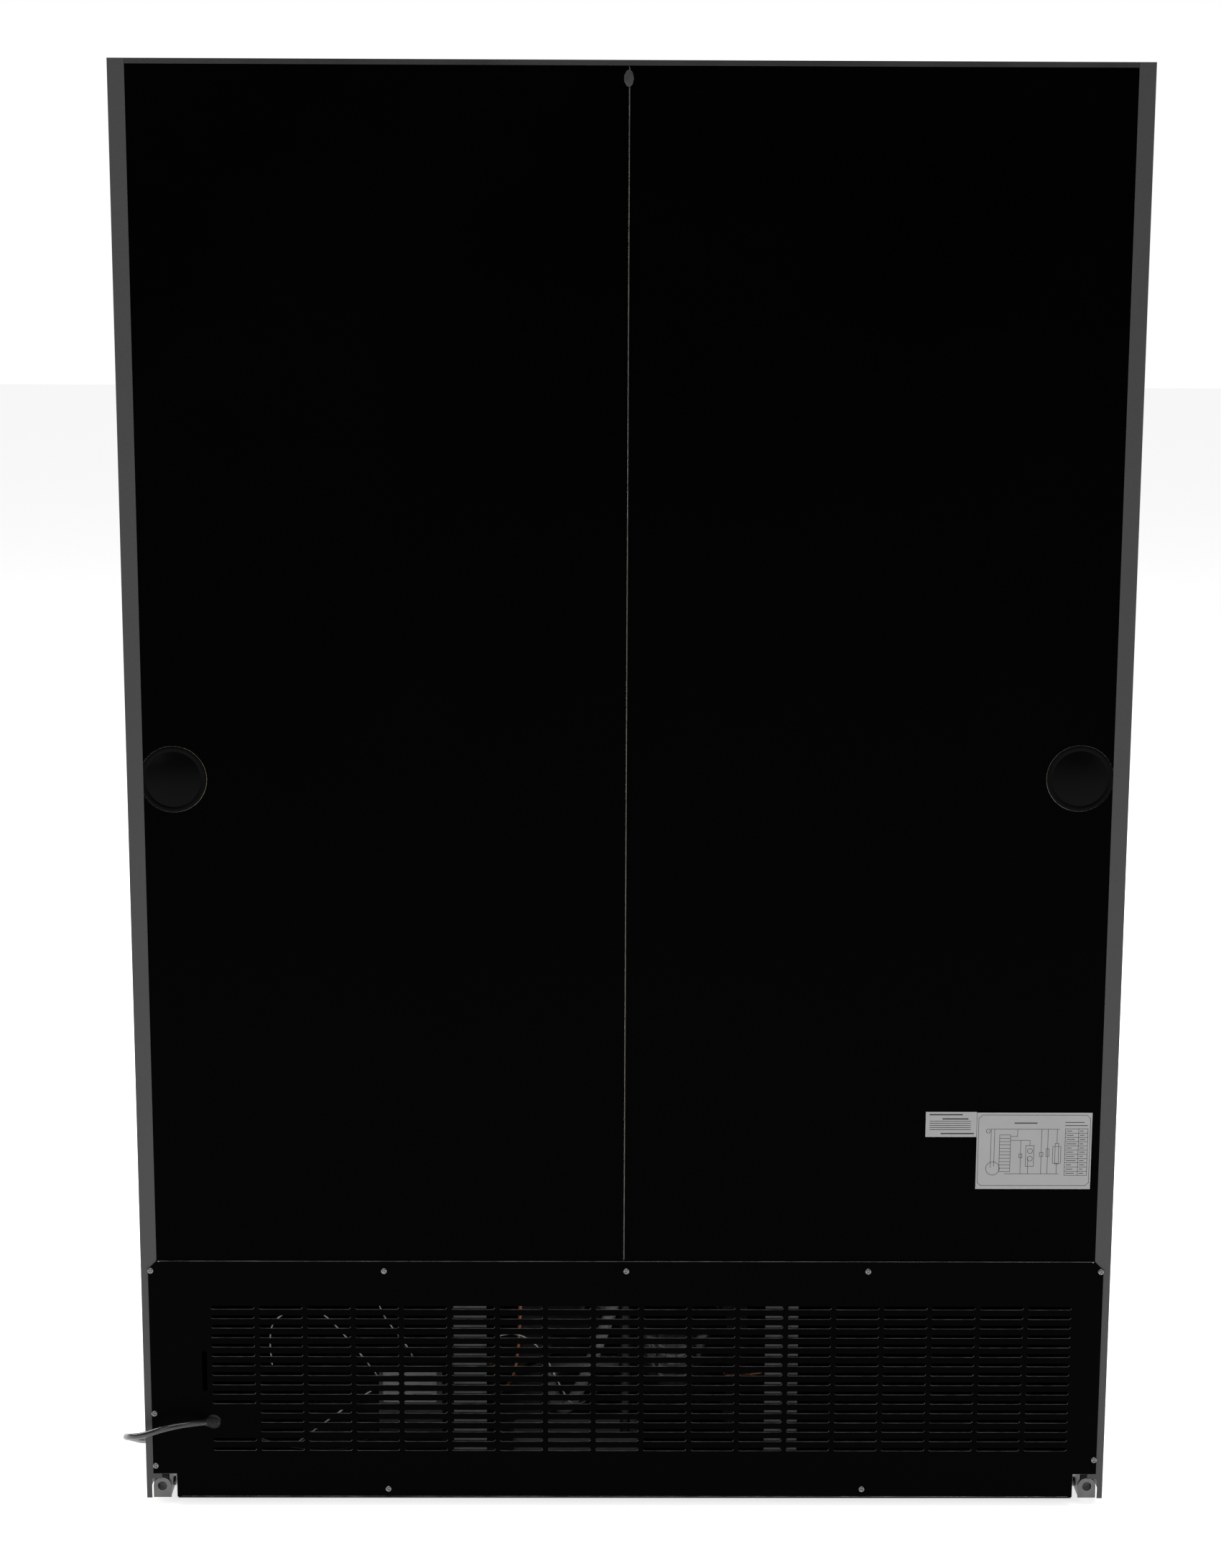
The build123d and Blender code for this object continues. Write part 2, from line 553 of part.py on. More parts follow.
with BuildPart() as bracket_right:
    with BuildSketch(Plane.XZ.offset(-BACK_IN)):
        with Locations((LUG_X, (BODY_BOTTOM + LUG_HOLE_Z) / 2)):
            Rectangle(LUG_WIDTH, LUG_HOLE_Z - BODY_BOTTOM)
        with Locations((LUG_X, LUG_HOLE_Z)):
            Circle(LUG_WIDTH / 2)
            Circle(LUG_HOLE_R, mode=Mode.SUBTRACT)
    extrude(amount=BRACKET_PLATE)
    left_cheek = (LUG_X - LUG_WIDTH / 2, LUG_X - LUG_WIDTH / 2 + CHEEK)
    right_cheek = (LUG_X + LUG_WIDTH / 2 - CHEEK, LUG_X + LUG_WIDTH / 2)
    bracket_y = (BRACKET_FRONT, BRACKET_REAR)
    for cheek in (left_cheek, right_cheek):
        block(cheek, bracket_y, (CHEEK_BOTTOM, RAIL_TOP))
    roof = (RAIL_TOP - BASE_TUBE_WALL, RAIL_TOP)
    block((left_cheek[0], right_cheek[1]), bracket_y, roof)
    rod((LUG_X, ROLLER_Y, ROLLER_R), AXLE_R + AXLE_CLEARANCE, 2 * LUG_WIDTH, "X", Mode.SUBTRACT)
bracket_left = mirrored(bracket_right, "bracket_left")

AXLE_LENGTH = LUG_WIDTH + 2 * AXLE_END

with BuildPart() as roller_axles:
    for x in both(LUG_X):
        rod((x, ROLLER_Y, ROLLER_R), AXLE_R, AXLE_LENGTH, "X")
        for end in (-1, 1):
            clip_x = x + end * (LUG_WIDTH / 2 + CIRCLIP_GAP + CIRCLIP / 2)
            rod((clip_x, ROLLER_Y, ROLLER_R), AXLE_R + CIRCLIP_RIM, CIRCLIP, "X")

with BuildPart() as rear_roller_right:
    rod((LUG_X, ROLLER_Y, ROLLER_R), ROLLER_R, ROLLER_WIDTH, "X")
    fillet(rear_roller_right.edges().filter_by(GeomType.CIRCLE), ROLLER_ROUND)
    rod((LUG_X, ROLLER_Y, ROLLER_R), AXLE_R + PIN_CLEARANCE, 2 * ROLLER_WIDTH, "X", Mode.SUBTRACT)
rear_roller_right.part.label = "rear_roller_right"
rear_roller_left = mirrored(rear_roller_right, "rear_roller_left")

with BuildPart() as levelling_foot_right:
    foot_place = (FOOT_X, RAIL_FOOT_Y)
    rod((*foot_place, FOOT_PAD / 2), FOOT_PAD_R, FOOT_PAD, "Z")
    chamfer(levelling_foot_right.edges().filter_by(GeomType.CIRCLE), FOOT_CHAMFER)
    stem = (FOOT_STEM_TOP - FOOT_PAD, (FOOT_STEM_TOP + FOOT_PAD) / 2)
    rod((*foot_place, stem[1]), FOOT_STEM_R, stem[0], "Z")
levelling_foot_right.part.label = "levelling_foot_right"
levelling_foot_left = mirrored(levelling_foot_right, "levelling_foot_left")

# ================================================================ compressor
COMPRESSOR = (-72.0, INSIDE_BACK - 153.4)
COMPRESSOR_R = 79.0
COMPRESSOR_TOP = 224.0
COMPRESSOR_DOME = 30.0
COMPRESSOR_WALL = 19.0
GROMMET_R = 10.0
GROMMET_HEIGHT = 11.0
FOOT_PLATE = 3.0
GROMMET_X = 82.0
GROMMET_Y = 55.0
PLATE_MARGIN = 14.0  # foot plate beyond the grommets
SEAM_BAND = 3.0
SEAM_BAND_HEIGHT = 5.0
TERMINAL_WIDTH = 60.0
TERMINAL_DEPTH = 45.0
TERMINAL_REACH = 26.0  # terminal box in front of the shell
TERMINAL_Z = (110.0, 170.0)

plate_bottom = DECK_TOP + GROMMET_HEIGHT
plate_top = plate_bottom + FOOT_PLATE
shell_height = COMPRESSOR_TOP - plate_top

with BuildPart() as compressor:
    rod((*COMPRESSOR, plate_top + shell_height / 2), COMPRESSOR_R, shell_height, "Z")
    fillet(compressor.edges().filter_by(GeomType.CIRCLE), COMPRESSOR_DOME)
    rod((*COMPRESSOR, plate_top + shell_height / 2), COMPRESSOR_R + SEAM_BAND, SEAM_BAND_HEIGHT, "Z")
    hollow_height = shell_height - 2 * COMPRESSOR_WALL
    hollow_middle = (*COMPRESSOR, plate_top + shell_height / 2)
    rod(hollow_middle, COMPRESSOR_R - COMPRESSOR_WALL, hollow_height, "Z", Mode.SUBTRACT)
    plate_half_x = GROMMET_X + PLATE_MARGIN
    plate_half_y = GROMMET_Y + PLATE_MARGIN
    plate_x = (COMPRESSOR[0] - plate_half_x, COMPRESSOR[0] + plate_half_x)
    plate_y = (COMPRESSOR[1] - plate_half_y, COMPRESSOR[1] + plate_half_y)
    block(plate_x, plate_y, (plate_bottom, plate_top))
    terminal_x = (COMPRESSOR[0] - TERMINAL_WIDTH / 2, COMPRESSOR[0] + TERMINAL_WIDTH / 2)
    terminal_front = COMPRESSOR[1] - COMPRESSOR_R - TERMINAL_REACH
    block(terminal_x, (terminal_front, terminal_front + TERMINAL_DEPTH), TERMINAL_Z)
compressor.part.label = "compressor"

with BuildPart() as compressor_grommets:
    with BuildSketch(Plane.XY.offset(DECK_TOP)):
        with Locations(COMPRESSOR):
            with GridLocations(2 * GROMMET_X, 2 * GROMMET_Y, 2, 2):
                Circle(GROMMET_R)
    extrude(amount=GROMMET_HEIGHT)
compressor_grommets.part.label = "compressor_grommets"

# ================================================================ condenser and its fan
CONDENSER_X = (-200.0, 160.0)
CONDENSER_Y = (FACE + 68.0, FACE + 128.0)
CONDENSER_Z = (56.0, 304.0)
SHROUD_DEPTH = 42.0
CORE_PLATE = 2.0  # end plates of the fin blocks
CORE_PLATE_MARGIN = 6.0
CORE_WALL = 5.0  # a fin block is a hollow shell, so that it weighs what its fins and tubes do
FAN_MIDDLE = (-20.0, 180.0)
FAN_R = 112.0
FAN_HOLE_R = 118.0
FAN_HUB_R = 24.0
FAN_SHAFT_R = 4.0
FAN_WIDTH = 22.0
FAN_Y = CONDENSER_Y[1] + 25.0
FAN_BLADES = 5

with BuildPart() as condenser_coil:
    block(CONDENSER_X, CONDENSER_Y, CONDENSER_Z)
    block(
        (CONDENSER_X[0] + CORE_WALL, CONDENSER_X[1] - CORE_WALL),
        (CONDENSER_Y[0] + CORE_WALL, CONDENSER_Y[1] - CORE_WALL),
        (CONDENSER_Z[0] + CORE_WALL, CONDENSER_Z[1] - CORE_WALL),
        Mode.SUBTRACT,
    )
    for low_x in (CONDENSER_X[0], CONDENSER_X[1] - CORE_PLATE):
        end_y = (CONDENSER_Y[0] - CORE_PLATE_MARGIN, CONDENSER_Y[1])
        end_z = (DECK_TOP, CONDENSER_Z[1] + CORE_PLATE_MARGIN)
        block((low_x, low_x + CORE_PLATE), end_y, end_z)
condenser_coil.part.label = "condenser_coil"

shroud_y = (CONDENSER_Y[1], CONDENSER_Y[1] + SHROUD_DEPTH)

with BuildPart() as condenser_shroud:
    block(CONDENSER_X, shroud_y, CONDENSER_Z)
    block(
        (CONDENSER_X[0] + SHEET, CONDENSER_X[1] - SHEET),
        (shroud_y[0], shroud_y[1] - SHEET),
        (CONDENSER_Z[0] + SHEET, CONDENSER_Z[1] - SHEET),
        Mode.SUBTRACT,
    )
    fan_hole = (FAN_MIDDLE[0], shroud_y[1], FAN_MIDDLE[1])
    rod(fan_hole, FAN_HOLE_R, 10.0, "Y", Mode.SUBTRACT)
condenser_shroud.part.label = "condenser_shroud"


def fan_wheel(middle, radius, hub, shaft, width):
    """A bladed wheel about an axis along Y, with a running bore for its shaft."""
    x, y, z = middle
    rod(middle, hub, width, "Y")
    for step in range(FAN_BLADES):
        angle = 360.0 * step / FAN_BLADES
        reach = radius + hub
        along = math.radians(angle)
        place = (x + math.cos(along) * reach / 2, y, z + math.sin(along) * reach / 2)
        with Locations(Location(place, (0, -angle, 0)) * Rotation(30, 0, 0)):
            Box(radius - hub + 4.0, width * 0.9, 2.0)
            Box(radius * 0.45, width * 1.7, 2.0)
    rod(middle, radius, width * 2, "Y", Mode.INTERSECT)
    rod(middle, shaft + PIN_CLEARANCE, width * 3, "Y", Mode.SUBTRACT)


with BuildPart() as condenser_fan:
    fan_wheel((FAN_MIDDLE[0], FAN_Y, FAN_MIDDLE[1]), FAN_R, FAN_HUB_R, FAN_SHAFT_R, FAN_WIDTH)
condenser_fan.part.label = "condenser_fan"

MOTOR_Y = (FAN_Y + 32.0, FAN_Y + 100.0)
MOTOR_R = 40.0
MOTOR_ROUND = 6.0
SHAFT_OVERLAP = 4.0  # shaft beyond the hub, and into the motor
STAND_WIDTH = 70.0
STAND_BELOW_MIDDLE = 20.0
STAND_Y = (MOTOR_Y[0] + 30.0, MOTOR_Y[0] + 38.0)
STAND_FOOT_Y = (MOTOR_Y[0] + 14.0, MOTOR_Y[0] + 54.0)
STAND_FOOT = 3.0

with BuildPart() as condenser_motor:
    motor_middle = (FAN_MIDDLE[0], sum(MOTOR_Y) / 2, FAN_MIDDLE[1])
    rod(motor_middle, MOTOR_R, MOTOR_Y[1] - MOTOR_Y[0], "Y")
    fillet(condenser_motor.edges().filter_by(GeomType.CIRCLE), MOTOR_ROUND)
    shaft_y = (FAN_Y - FAN_WIDTH / 2 - SHAFT_OVERLAP, MOTOR_Y[0] + SHAFT_OVERLAP)
    shaft_middle = (FAN_MIDDLE[0], sum(shaft_y) / 2, FAN_MIDDLE[1])
    rod(shaft_middle, FAN_SHAFT_R, shaft_y[1] - shaft_y[0], "Y")
    stand_x = (FAN_MIDDLE[0] - STAND_WIDTH / 2, FAN_MIDDLE[0] + STAND_WIDTH / 2)
    block(stand_x, STAND_Y, (DECK_TOP, FAN_MIDDLE[1] - STAND_BELOW_MIDDLE))
    block(stand_x, STAND_FOOT_Y, (DECK_TOP, DECK_TOP + STAND_FOOT))
condenser_motor.part.label = "condenser_motor"

# ================================================================ pipework, pan, junction box
HOSE_R = 9.0
HOSE_BEND = 22.0
PIPE_R = 4.0
PIPE_BEND = 20.0
PORT_STANDOFF = 0.5  # pipe end off the compressor's shell
condenser_port_y = sum(CONDENSER_Y) / 2
shell_x, shell_y = COMPRESSOR
HOSE_ROUTE = [
    (2, shell_y + 70, BOX_BOTTOM),
    (2, shell_y + 70, 296),
    (84, shell_y + 68, 86),
    (112, shell_y + 36, 132),
    (60, shell_y, 132),
    (shell_x + COMPRESSOR_R + PORT_STANDOFF, shell_y, 132),
]
DISCHARGE_ROUTE = [
    (shell_x - COMPRESSOR_R - PORT_STANDOFF, shell_y, 112),
    (-205, shell_y, 112),
    (-232, shell_y - 70, 112),
    (-232, condenser_port_y, 112),
    (CONDENSER_X[0], condenser_port_y, 112),
]
DRIER_R = 12.0
DRIER_CONE = 5.0
DRIER_Y = (shell_y - 150.0, shell_y - 50.0)
LIQUID_X = 196.0
LIQUID_ROUTE = [
    (CONDENSER_X[1], condenser_port_y, 96),
    (LIQUID_X, condenser_port_y, 96),
    (LIQUID_X, DRIER_Y[0], 96),
]
RISER_ROUTE = [
    (LIQUID_X, DRIER_Y[1], 96),
    (LIQUID_X, shell_y + 60, 96),
    (158, shell_y + 72, 140),
    (150, shell_y + 72, 240),
    (150, shell_y + 72, BOX_BOTTOM),
]


with BuildPart() as suction_line:
    with BuildLine() as hose_path:
        FilletPolyline(*HOSE_ROUTE, radius=HOSE_BEND)
    with BuildSketch(Plane(hose_path.line @ 0, z_dir=hose_path.line % 0)):
        Circle(HOSE_R)
    sweep(path=hose_path.line)
suction_line.part.label = "suction_line"

with BuildPart() as discharge_pipe:
    with BuildLine() as discharge_path:
        FilletPolyline(*DISCHARGE_ROUTE, radius=PIPE_BEND)
    with BuildSketch(Plane(discharge_path.line @ 0, z_dir=discharge_path.line % 0)):
        Circle(PIPE_R)
    sweep(path=discharge_path.line)
with BuildPart() as liquid_pipe:
    with BuildLine() as liquid_path:
        FilletPolyline(*LIQUID_ROUTE, radius=PIPE_BEND)
    with BuildSketch(Plane(liquid_path.line @ 0, z_dir=liquid_path.line % 0)):
        Circle(PIPE_R)
    sweep(path=liquid_path.line)
with BuildPart() as riser_pipe:
    with BuildLine() as riser_path:
        FilletPolyline(*RISER_ROUTE, radius=PIPE_BEND)
    with BuildSketch(Plane(riser_path.line @ 0, z_dir=riser_path.line % 0)):
        Circle(PIPE_R)
    sweep(path=riser_path.line)
with BuildPart() as filter_drier:
    middle = (LIQUID_X, sum(DRIER_Y) / 2, 96)
    rod(middle, DRIER_R, DRIER_Y[1] - DRIER_Y[0], "Y")
    chamfer(filter_drier.edges().filter_by(GeomType.CIRCLE), DRIER_CONE)

PAN_X = (-20.0, 160.0)
PAN_Y = (DRAIN_Y - 45.0, DRAIN_Y + 19.0)
PAN_HEIGHT = 34.0
PAN_WALL = 2.0
PAN_CORNER = 8.0

with BuildPart() as drain_pan:
    block(PAN_X, PAN_Y, (DECK_TOP, DECK_TOP + PAN_HEIGHT))
    fillet(drain_pan.edges().filter_by(Axis.Z), PAN_CORNER)
    offset(openings=drain_pan.faces().sort_by(Axis.Z)[-1], amount=-PAN_WALL)
drain_pan.part.label = "drain_pan"

EVAPORATOR_X = INSIDE_SIDE - 203.0
EVAPORATOR_Y = INSIDE_BACK - 283.4
EVAPORATOR_Z = CEILING - 200.0
EVAPORATOR_SHEET = 1.5
DRAIN_END = 72.0

with BuildPart() as drain_tube:
    tube_height = EVAPORATOR_Z - DRAIN_END
    middle = (DRAIN_X, DRAIN_Y, DRAIN_END + tube_height / 2)
    rod(middle, DRAIN_R, tube_height, "Z")
    rod(middle, DRAIN_R - DRAIN_WALL, tube_height, "Z", Mode.SUBTRACT)
drain_tube.part.label = "drain_tube"

JUNCTION_X = (262.0, 348.0)
JUNCTION_Y = (INSIDE_BACK - 43.4, INSIDE_BACK - 1.4)
JUNCTION_TOP = 184.0
JUNCTION_CORNER = 3.0
JUNCTION_LID = 3.0
JUNCTION_LID_MARGIN = 2.0

with BuildPart() as junction_box:
    block(JUNCTION_X, JUNCTION_Y, (DECK_TOP, JUNCTION_TOP))
    fillet(junction_box.edges().filter_by(Axis.Z), JUNCTION_CORNER)
    lid_x = (JUNCTION_X[0] - JUNCTION_LID_MARGIN, JUNCTION_X[1] + JUNCTION_LID_MARGIN)
    lid_z = (DECK_TOP + 2 * JUNCTION_LID_MARGIN, JUNCTION_TOP + JUNCTION_LID_MARGIN)
    block(lid_x, (JUNCTION_Y[1], JUNCTION_Y[1] + JUNCTION_LID), lid_z)
junction_box.part.label = "junction_box"

# ================================================================ evaporator
EVAPORATOR_FINS_X = EVAPORATOR_X - 30.0
EVAPORATOR_FINS_Y = (INSIDE_BACK - 143.4, INSIDE_BACK - 27.4)
EVAPORATOR_FINS_GAPS = (16.0, 8.0)  # fins above the tray and below the ceiling
EVAPORATOR_FAN_X = EVAPORATOR_X / 2 - 20.0
EVAPORATOR_FAN_Z = EVAPORATOR_Z + 100.0
EVAPORATOR_FAN_Y = EVAPORATOR_Y + 20.0
INTAKES = 4  # slots in the housing's floor
INTAKE_BAR = 40.0
INTAKE_Y = (EVAPORATOR_Y + 110.0, EVAPORATOR_Y + 130.0)
EVAPORATOR_FAN_R = 74.0
EVAPORATOR_HOLE_R = 78.0
EVAPORATOR_HUB_R = 17.0
EVAPORATOR_SHAFT_R = 3.0
EVAPORATOR_FAN_WIDTH = 14.0
EVAPORATOR_MOTOR_Y = (EVAPORATOR_Y + 44.0, EVAPORATOR_Y + 90.0)
EVAPORATOR_MOTOR_R = 28.0
EVAPORATOR_LEG_WIDTH = 40.0
EVAPORATOR_LEG_Y = (EVAPORATOR_MOTOR_Y[0] + 18.0, EVAPORATOR_MOTOR_Y[0] + 22.0)
EVAPORATOR_PAD_Y = (EVAPORATOR_MOTOR_Y[0] + 8.0, EVAPORATOR_MOTOR_Y[0] + 32.0)
EVAPORATOR_PAD = 2.0
KNOB_X = 45.0
KNOB_R = 15.0
KNOB_SPINDLE_R = 3.0
KNOB_DEPTH = 14.0
KNOB_GAP = 0.3
KNOB_CHAMFER = 2.0
KNOB_GRIP = (5.0, 4.0, 20.0)  # width, reach and height of the finger grip
KNOB_SPINDLE_END = 8.0  # spindle inside the housing
SWITCH_X = -45.0
SWITCH_PIVOT_Y = EVAPORATOR_Y + 6.0
SWITCH_LENGTH = 20.0
SWITCH_GAP = 0.4
SWITCH_HOLE = 20.0
SWITCH_SECTION = [(-8.5, 5.0), (-6.5, 0.0), (-8.5, -5.0), (3.0, -8.0), (3.0, 8.0)]

cover_z = (EVAPORATOR_Z, CEILING)
cover_y = (EVAPORATOR_Y, INSIDE_BACK)

with BuildPart() as evaporator_housing:
    block((-EVAPORATOR_X, EVAPORATOR_X), cover_y, cover_z)
    block(
        (EVAPORATOR_SHEET - EVAPORATOR_X, EVAPORATOR_X - EVAPORATOR_SHEET),
        (EVAPORATOR_Y + EVAPORATOR_SHEET, INSIDE_BACK),
        (EVAPORATOR_Z + EVAPORATOR_SHEET, CEILING),
        Mode.SUBTRACT,
    )
    for x in both(EVAPORATOR_FAN_X):
        hole = (x, EVAPORATOR_Y, EVAPORATOR_FAN_Z)
        rod(hole, EVAPORATOR_HOLE_R, 10.0, "Y", Mode.SUBTRACT)
    intake_pitch = (2 * EVAPORATOR_X - INTAKE_BAR) / INTAKES
    for step in range(INTAKES):
        low_x = (step - INTAKES / 2) * intake_pitch + INTAKE_BAR / 2
        intake_x = (low_x, low_x + intake_pitch - INTAKE_BAR)
        floor_z = (EVAPORATOR_Z - EVAPORATOR_SHEET, EVAPORATOR_Z + 2 * EVAPORATOR_SHEET)
        block(intake_x, INTAKE_Y, floor_z, Mode.SUBTRACT)
    knob_hole = (KNOB_X, EVAPORATOR_Y, EVAPORATOR_FAN_Z)
    rod(knob_hole, KNOB_SPINDLE_R + PIN_CLEARANCE, 10.0, "Y", Mode.SUBTRACT)
    block(
        (SWITCH_X - SWITCH_LENGTH / 2 - SWITCH_GAP, SWITCH_X + SWITCH_LENGTH / 2 + SWITCH_GAP),
        (EVAPORATOR_Y, EVAPORATOR_Y + EVAPORATOR_SHEET),
        (EVAPORATOR_FAN_Z - SWITCH_HOLE / 2, EVAPORATOR_FAN_Z + SWITCH_HOLE / 2),
        Mode.SUBTRACT,
    )
evaporator_housing.part.label = "evaporator_housing"

with BuildPart() as evaporator_coil:
    fins_x, fins_y = EVAPORATOR_FINS_X, EVAPORATOR_FINS_Y
    fins_z = (EVAPORATOR_Z + EVAPORATOR_FINS_GAPS[0], CEILING - EVAPORATOR_FINS_GAPS[1])
    block((-fins_x, fins_x), fins_y, fins_z)
    block(
        (CORE_WALL - fins_x, fins_x - CORE_WALL),
        (fins_y[0] + CORE_WALL, fins_y[1] - CORE_WALL),
        (fins_z[0] + CORE_WALL, fins_z[1] - CORE_WALL),
        Mode.SUBTRACT,
    )
    for low_x in (-fins_x - CORE_PLATE, fins_x):
        plate_y = (fins_y[0] - CORE_PLATE_MARGIN, fins_y[1] + CORE_PLATE_MARGIN)
        plate_z = (EVAPORATOR_Z + EVAPORATOR_SHEET, CEILING)
        block((low_x, low_x + CORE_PLATE), plate_y, plate_z)
evaporator_coil.part.label = "evaporator_coil"

with BuildPart() as evaporator_fan_right:
    place = (EVAPORATOR_FAN_X, EVAPORATOR_FAN_Y, EVAPORATOR_FAN_Z)
    fan_wheel(
        place, EVAPORATOR_FAN_R, EVAPORATOR_HUB_R, EVAPORATOR_SHAFT_R, EVAPORATOR_FAN_WIDTH
    )
evaporator_fan_right.part.label = "evaporator_fan_right"

with BuildPart() as evaporator_fan_left:
    place = (-EVAPORATOR_FAN_X, EVAPORATOR_FAN_Y, EVAPORATOR_FAN_Z)
    fan_wheel(
        place, EVAPORATOR_FAN_R, EVAPORATOR_HUB_R, EVAPORATOR_SHAFT_R, EVAPORATOR_FAN_WIDTH
    )
evaporator_fan_left.part.label = "evaporator_fan_left"

with BuildPart() as evaporator_motors:
    for x in both(EVAPORATOR_FAN_X):
        motor_length = EVAPORATOR_MOTOR_Y[1] - EVAPORATOR_MOTOR_Y[0]
        middle = (x, sum(EVAPORATOR_MOTOR_Y) / 2, EVAPORATOR_FAN_Z)
        rod(middle, EVAPORATOR_MOTOR_R, motor_length, "Y")
        shaft_front = EVAPORATOR_FAN_Y - EVAPORATOR_FAN_WIDTH / 2 - SHAFT_OVERLAP
        shaft_y = (shaft_front, EVAPORATOR_MOTOR_Y[0] + SHAFT_OVERLAP)
        middle = (x, sum(shaft_y) / 2, EVAPORATOR_FAN_Z)
        rod(middle, EVAPORATOR_SHAFT_R, shaft_y[1] - shaft_y[0], "Y")
        leg_z = (EVAPORATOR_Z + EVAPORATOR_SHEET, EVAPORATOR_FAN_Z)
        leg_x = (x - EVAPORATOR_LEG_WIDTH / 2, x + EVAPORATOR_LEG_WIDTH / 2)
        block(leg_x, EVAPORATOR_LEG_Y, leg_z)
        block(leg_x, EVAPORATOR_PAD_Y, (leg_z[0], leg_z[0] + EVAPORATOR_PAD))
evaporator_motors.part.label = "evaporator_motors"

with BuildPart() as thermostat_knob:
    knob_y = (EVAPORATOR_Y - KNOB_GAP - KNOB_DEPTH, EVAPORATOR_Y - KNOB_GAP)
    rod((KNOB_X, sum(knob_y) / 2, EVAPORATOR_FAN_Z), KNOB_R, KNOB_DEPTH, "Y")
    chamfer(thermostat_knob.edges().filter_by(GeomType.CIRCLE).sort_by(Axis.Y)[0], KNOB_CHAMFER)
    grip_width, grip_reach, grip_height = KNOB_GRIP
    grip_x = (KNOB_X - grip_width / 2, KNOB_X + grip_width / 2)
    grip_z = (EVAPORATOR_FAN_Z - grip_height / 2, EVAPORATOR_FAN_Z + grip_height / 2)
    block(grip_x, (knob_y[0] - grip_reach, knob_y[0]), grip_z)
    spindle_end = EVAPORATOR_Y + EVAPORATOR_SHEET + KNOB_SPINDLE_END
    spindle = (spindle_end - knob_y[1], (spindle_end + knob_y[1]) / 2)
    rod((KNOB_X, spindle[1], EVAPORATOR_FAN_Z), KNOB_SPINDLE_R, spindle[0], "Y")
thermostat_knob.part.label = "thermostat_knob"

with BuildPart() as light_switch:
    with BuildSketch(Plane.YZ.offset(SWITCH_X - SWITCH_LENGTH / 2)):
        with BuildLine():
            pivot = (SWITCH_PIVOT_Y, EVAPORATOR_FAN_Z)
            Polyline(*[(pivot[0] + y, pivot[1] + z) for y, z in SWITCH_SECTION], close=True)
        make_face()
    extrude(amount=SWITCH_LENGTH)
light_switch.part.label = "light_switch"

# ================================================================ shelves
PILASTER = 20.0
PILASTER_DEPTH = 8.0
PILASTER_BOTTOM = FLOOR + 17.0
PILASTER_TOP = OPENING_TOP + 2.0
MIDDLE_PILASTER = 15.0
SHELF_IN = 17.0
SHELF_OUT = INSIDE_SIDE - 16.0
WIRE_SINK = 0.5  # wires pressed into the rim
SHELF_FRONT = FRAME_BACK + 15.0
SHELF_BACK = INSIDE_BACK - 15.4
CLIP_REACH = 14.0
CLIP = 4.0
REAR_PILASTER_X = (70.0, INSIDE_SIDE - 63.0)
FRONT_PILASTER_Y = FRAME_BACK + 63.0
CLIP_WIDTH = 12.0
MIDDLE_CLIP_WIDTH = 10.0
MIDDLE_PILASTER_X = 22.0
SHELF_SPACING = (OPENING_TOP - FLOOR) / (SHELF_COUNT + 1)
shelf_heights = [FLOOR + SHELF_SPACING * (level + 1) for level in range(SHELF_COUNT)]
pilaster_z = (PILASTER_BOTTOM, PILASTER_TOP)

with BuildPart() as shelf_pilasters:
    for side in (-1, 1):
        for x in REAR_PILASTER_X:
            edges_x = (side * x - PILASTER / 2, side * x + PILASTER / 2)
            block(edges_x, (INSIDE_BACK - PILASTER_DEPTH, INSIDE_BACK), pilaster_z)
        wall_x = sorted((side * (INSIDE_SIDE - PILASTER_DEPTH), side * INSIDE_SIDE))
        wall_y = (FRONT_PILASTER_Y - PILASTER / 2, FRONT_PILASTER_Y + PILASTER / 2)
        block(wall_x, wall_y, pilaster_z)
        middle_low = side * MIDDLE_PILASTER_X - MIDDLE_PILASTER / 2
        middle_x = (middle_low, middle_low + MIDDLE_PILASTER)
        block(middle_x, (FRAME_BACK, FRAME_BACK + PILASTER_DEPTH), pilaster_z)
shelf_pilasters.part.label = "shelf_pilasters"

with BuildPart() as shelf_clips:
    for side in (-1, 1):
        for height in shelf_heights:
            clip_z = (height - CLIP, height)
            for x in REAR_PILASTER_X:
                rear_y = INSIDE_BACK - PILASTER_DEPTH
                clip_x = (side * x - CLIP_WIDTH / 2, side * x + CLIP_WIDTH / 2)
                block(clip_x, (rear_y - CLIP_REACH, rear_y), clip_z)
            wall = INSIDE_SIDE - PILASTER_DEPTH
            clip_x = sorted((side * wall, side * (wall - CLIP_REACH)))
            clip_y = (FRONT_PILASTER_Y - CLIP_WIDTH / 2, FRONT_PILASTER_Y + CLIP_WIDTH / 2)
            block(clip_x, clip_y, clip_z)
            clip_low = side * MIDDLE_PILASTER_X - MIDDLE_CLIP_WIDTH / 2
            clip_x = (clip_low, clip_low + MIDDLE_CLIP_WIDTH)
            front_y = FRAME_BACK + PILASTER_DEPTH
            block(clip_x, (front_y, front_y + CLIP_REACH), clip_z)
shelf_clips.part.label = "shelf_clips"

shelf_width = SHELF_OUT - SHELF_IN
shelf_depth = SHELF_BACK - SHELF_FRONT
shelf_middle = ((SHELF_IN + SHELF_OUT) / 2, (SHELF_FRONT + SHELF_BACK) / 2)
rim_planes = [Plane.XY.offset(height) for height in shelf_heights]
wire_planes = [Plane.XY.offset(height + SHELF_ROD - WIRE_SINK) for height in shelf_heights]

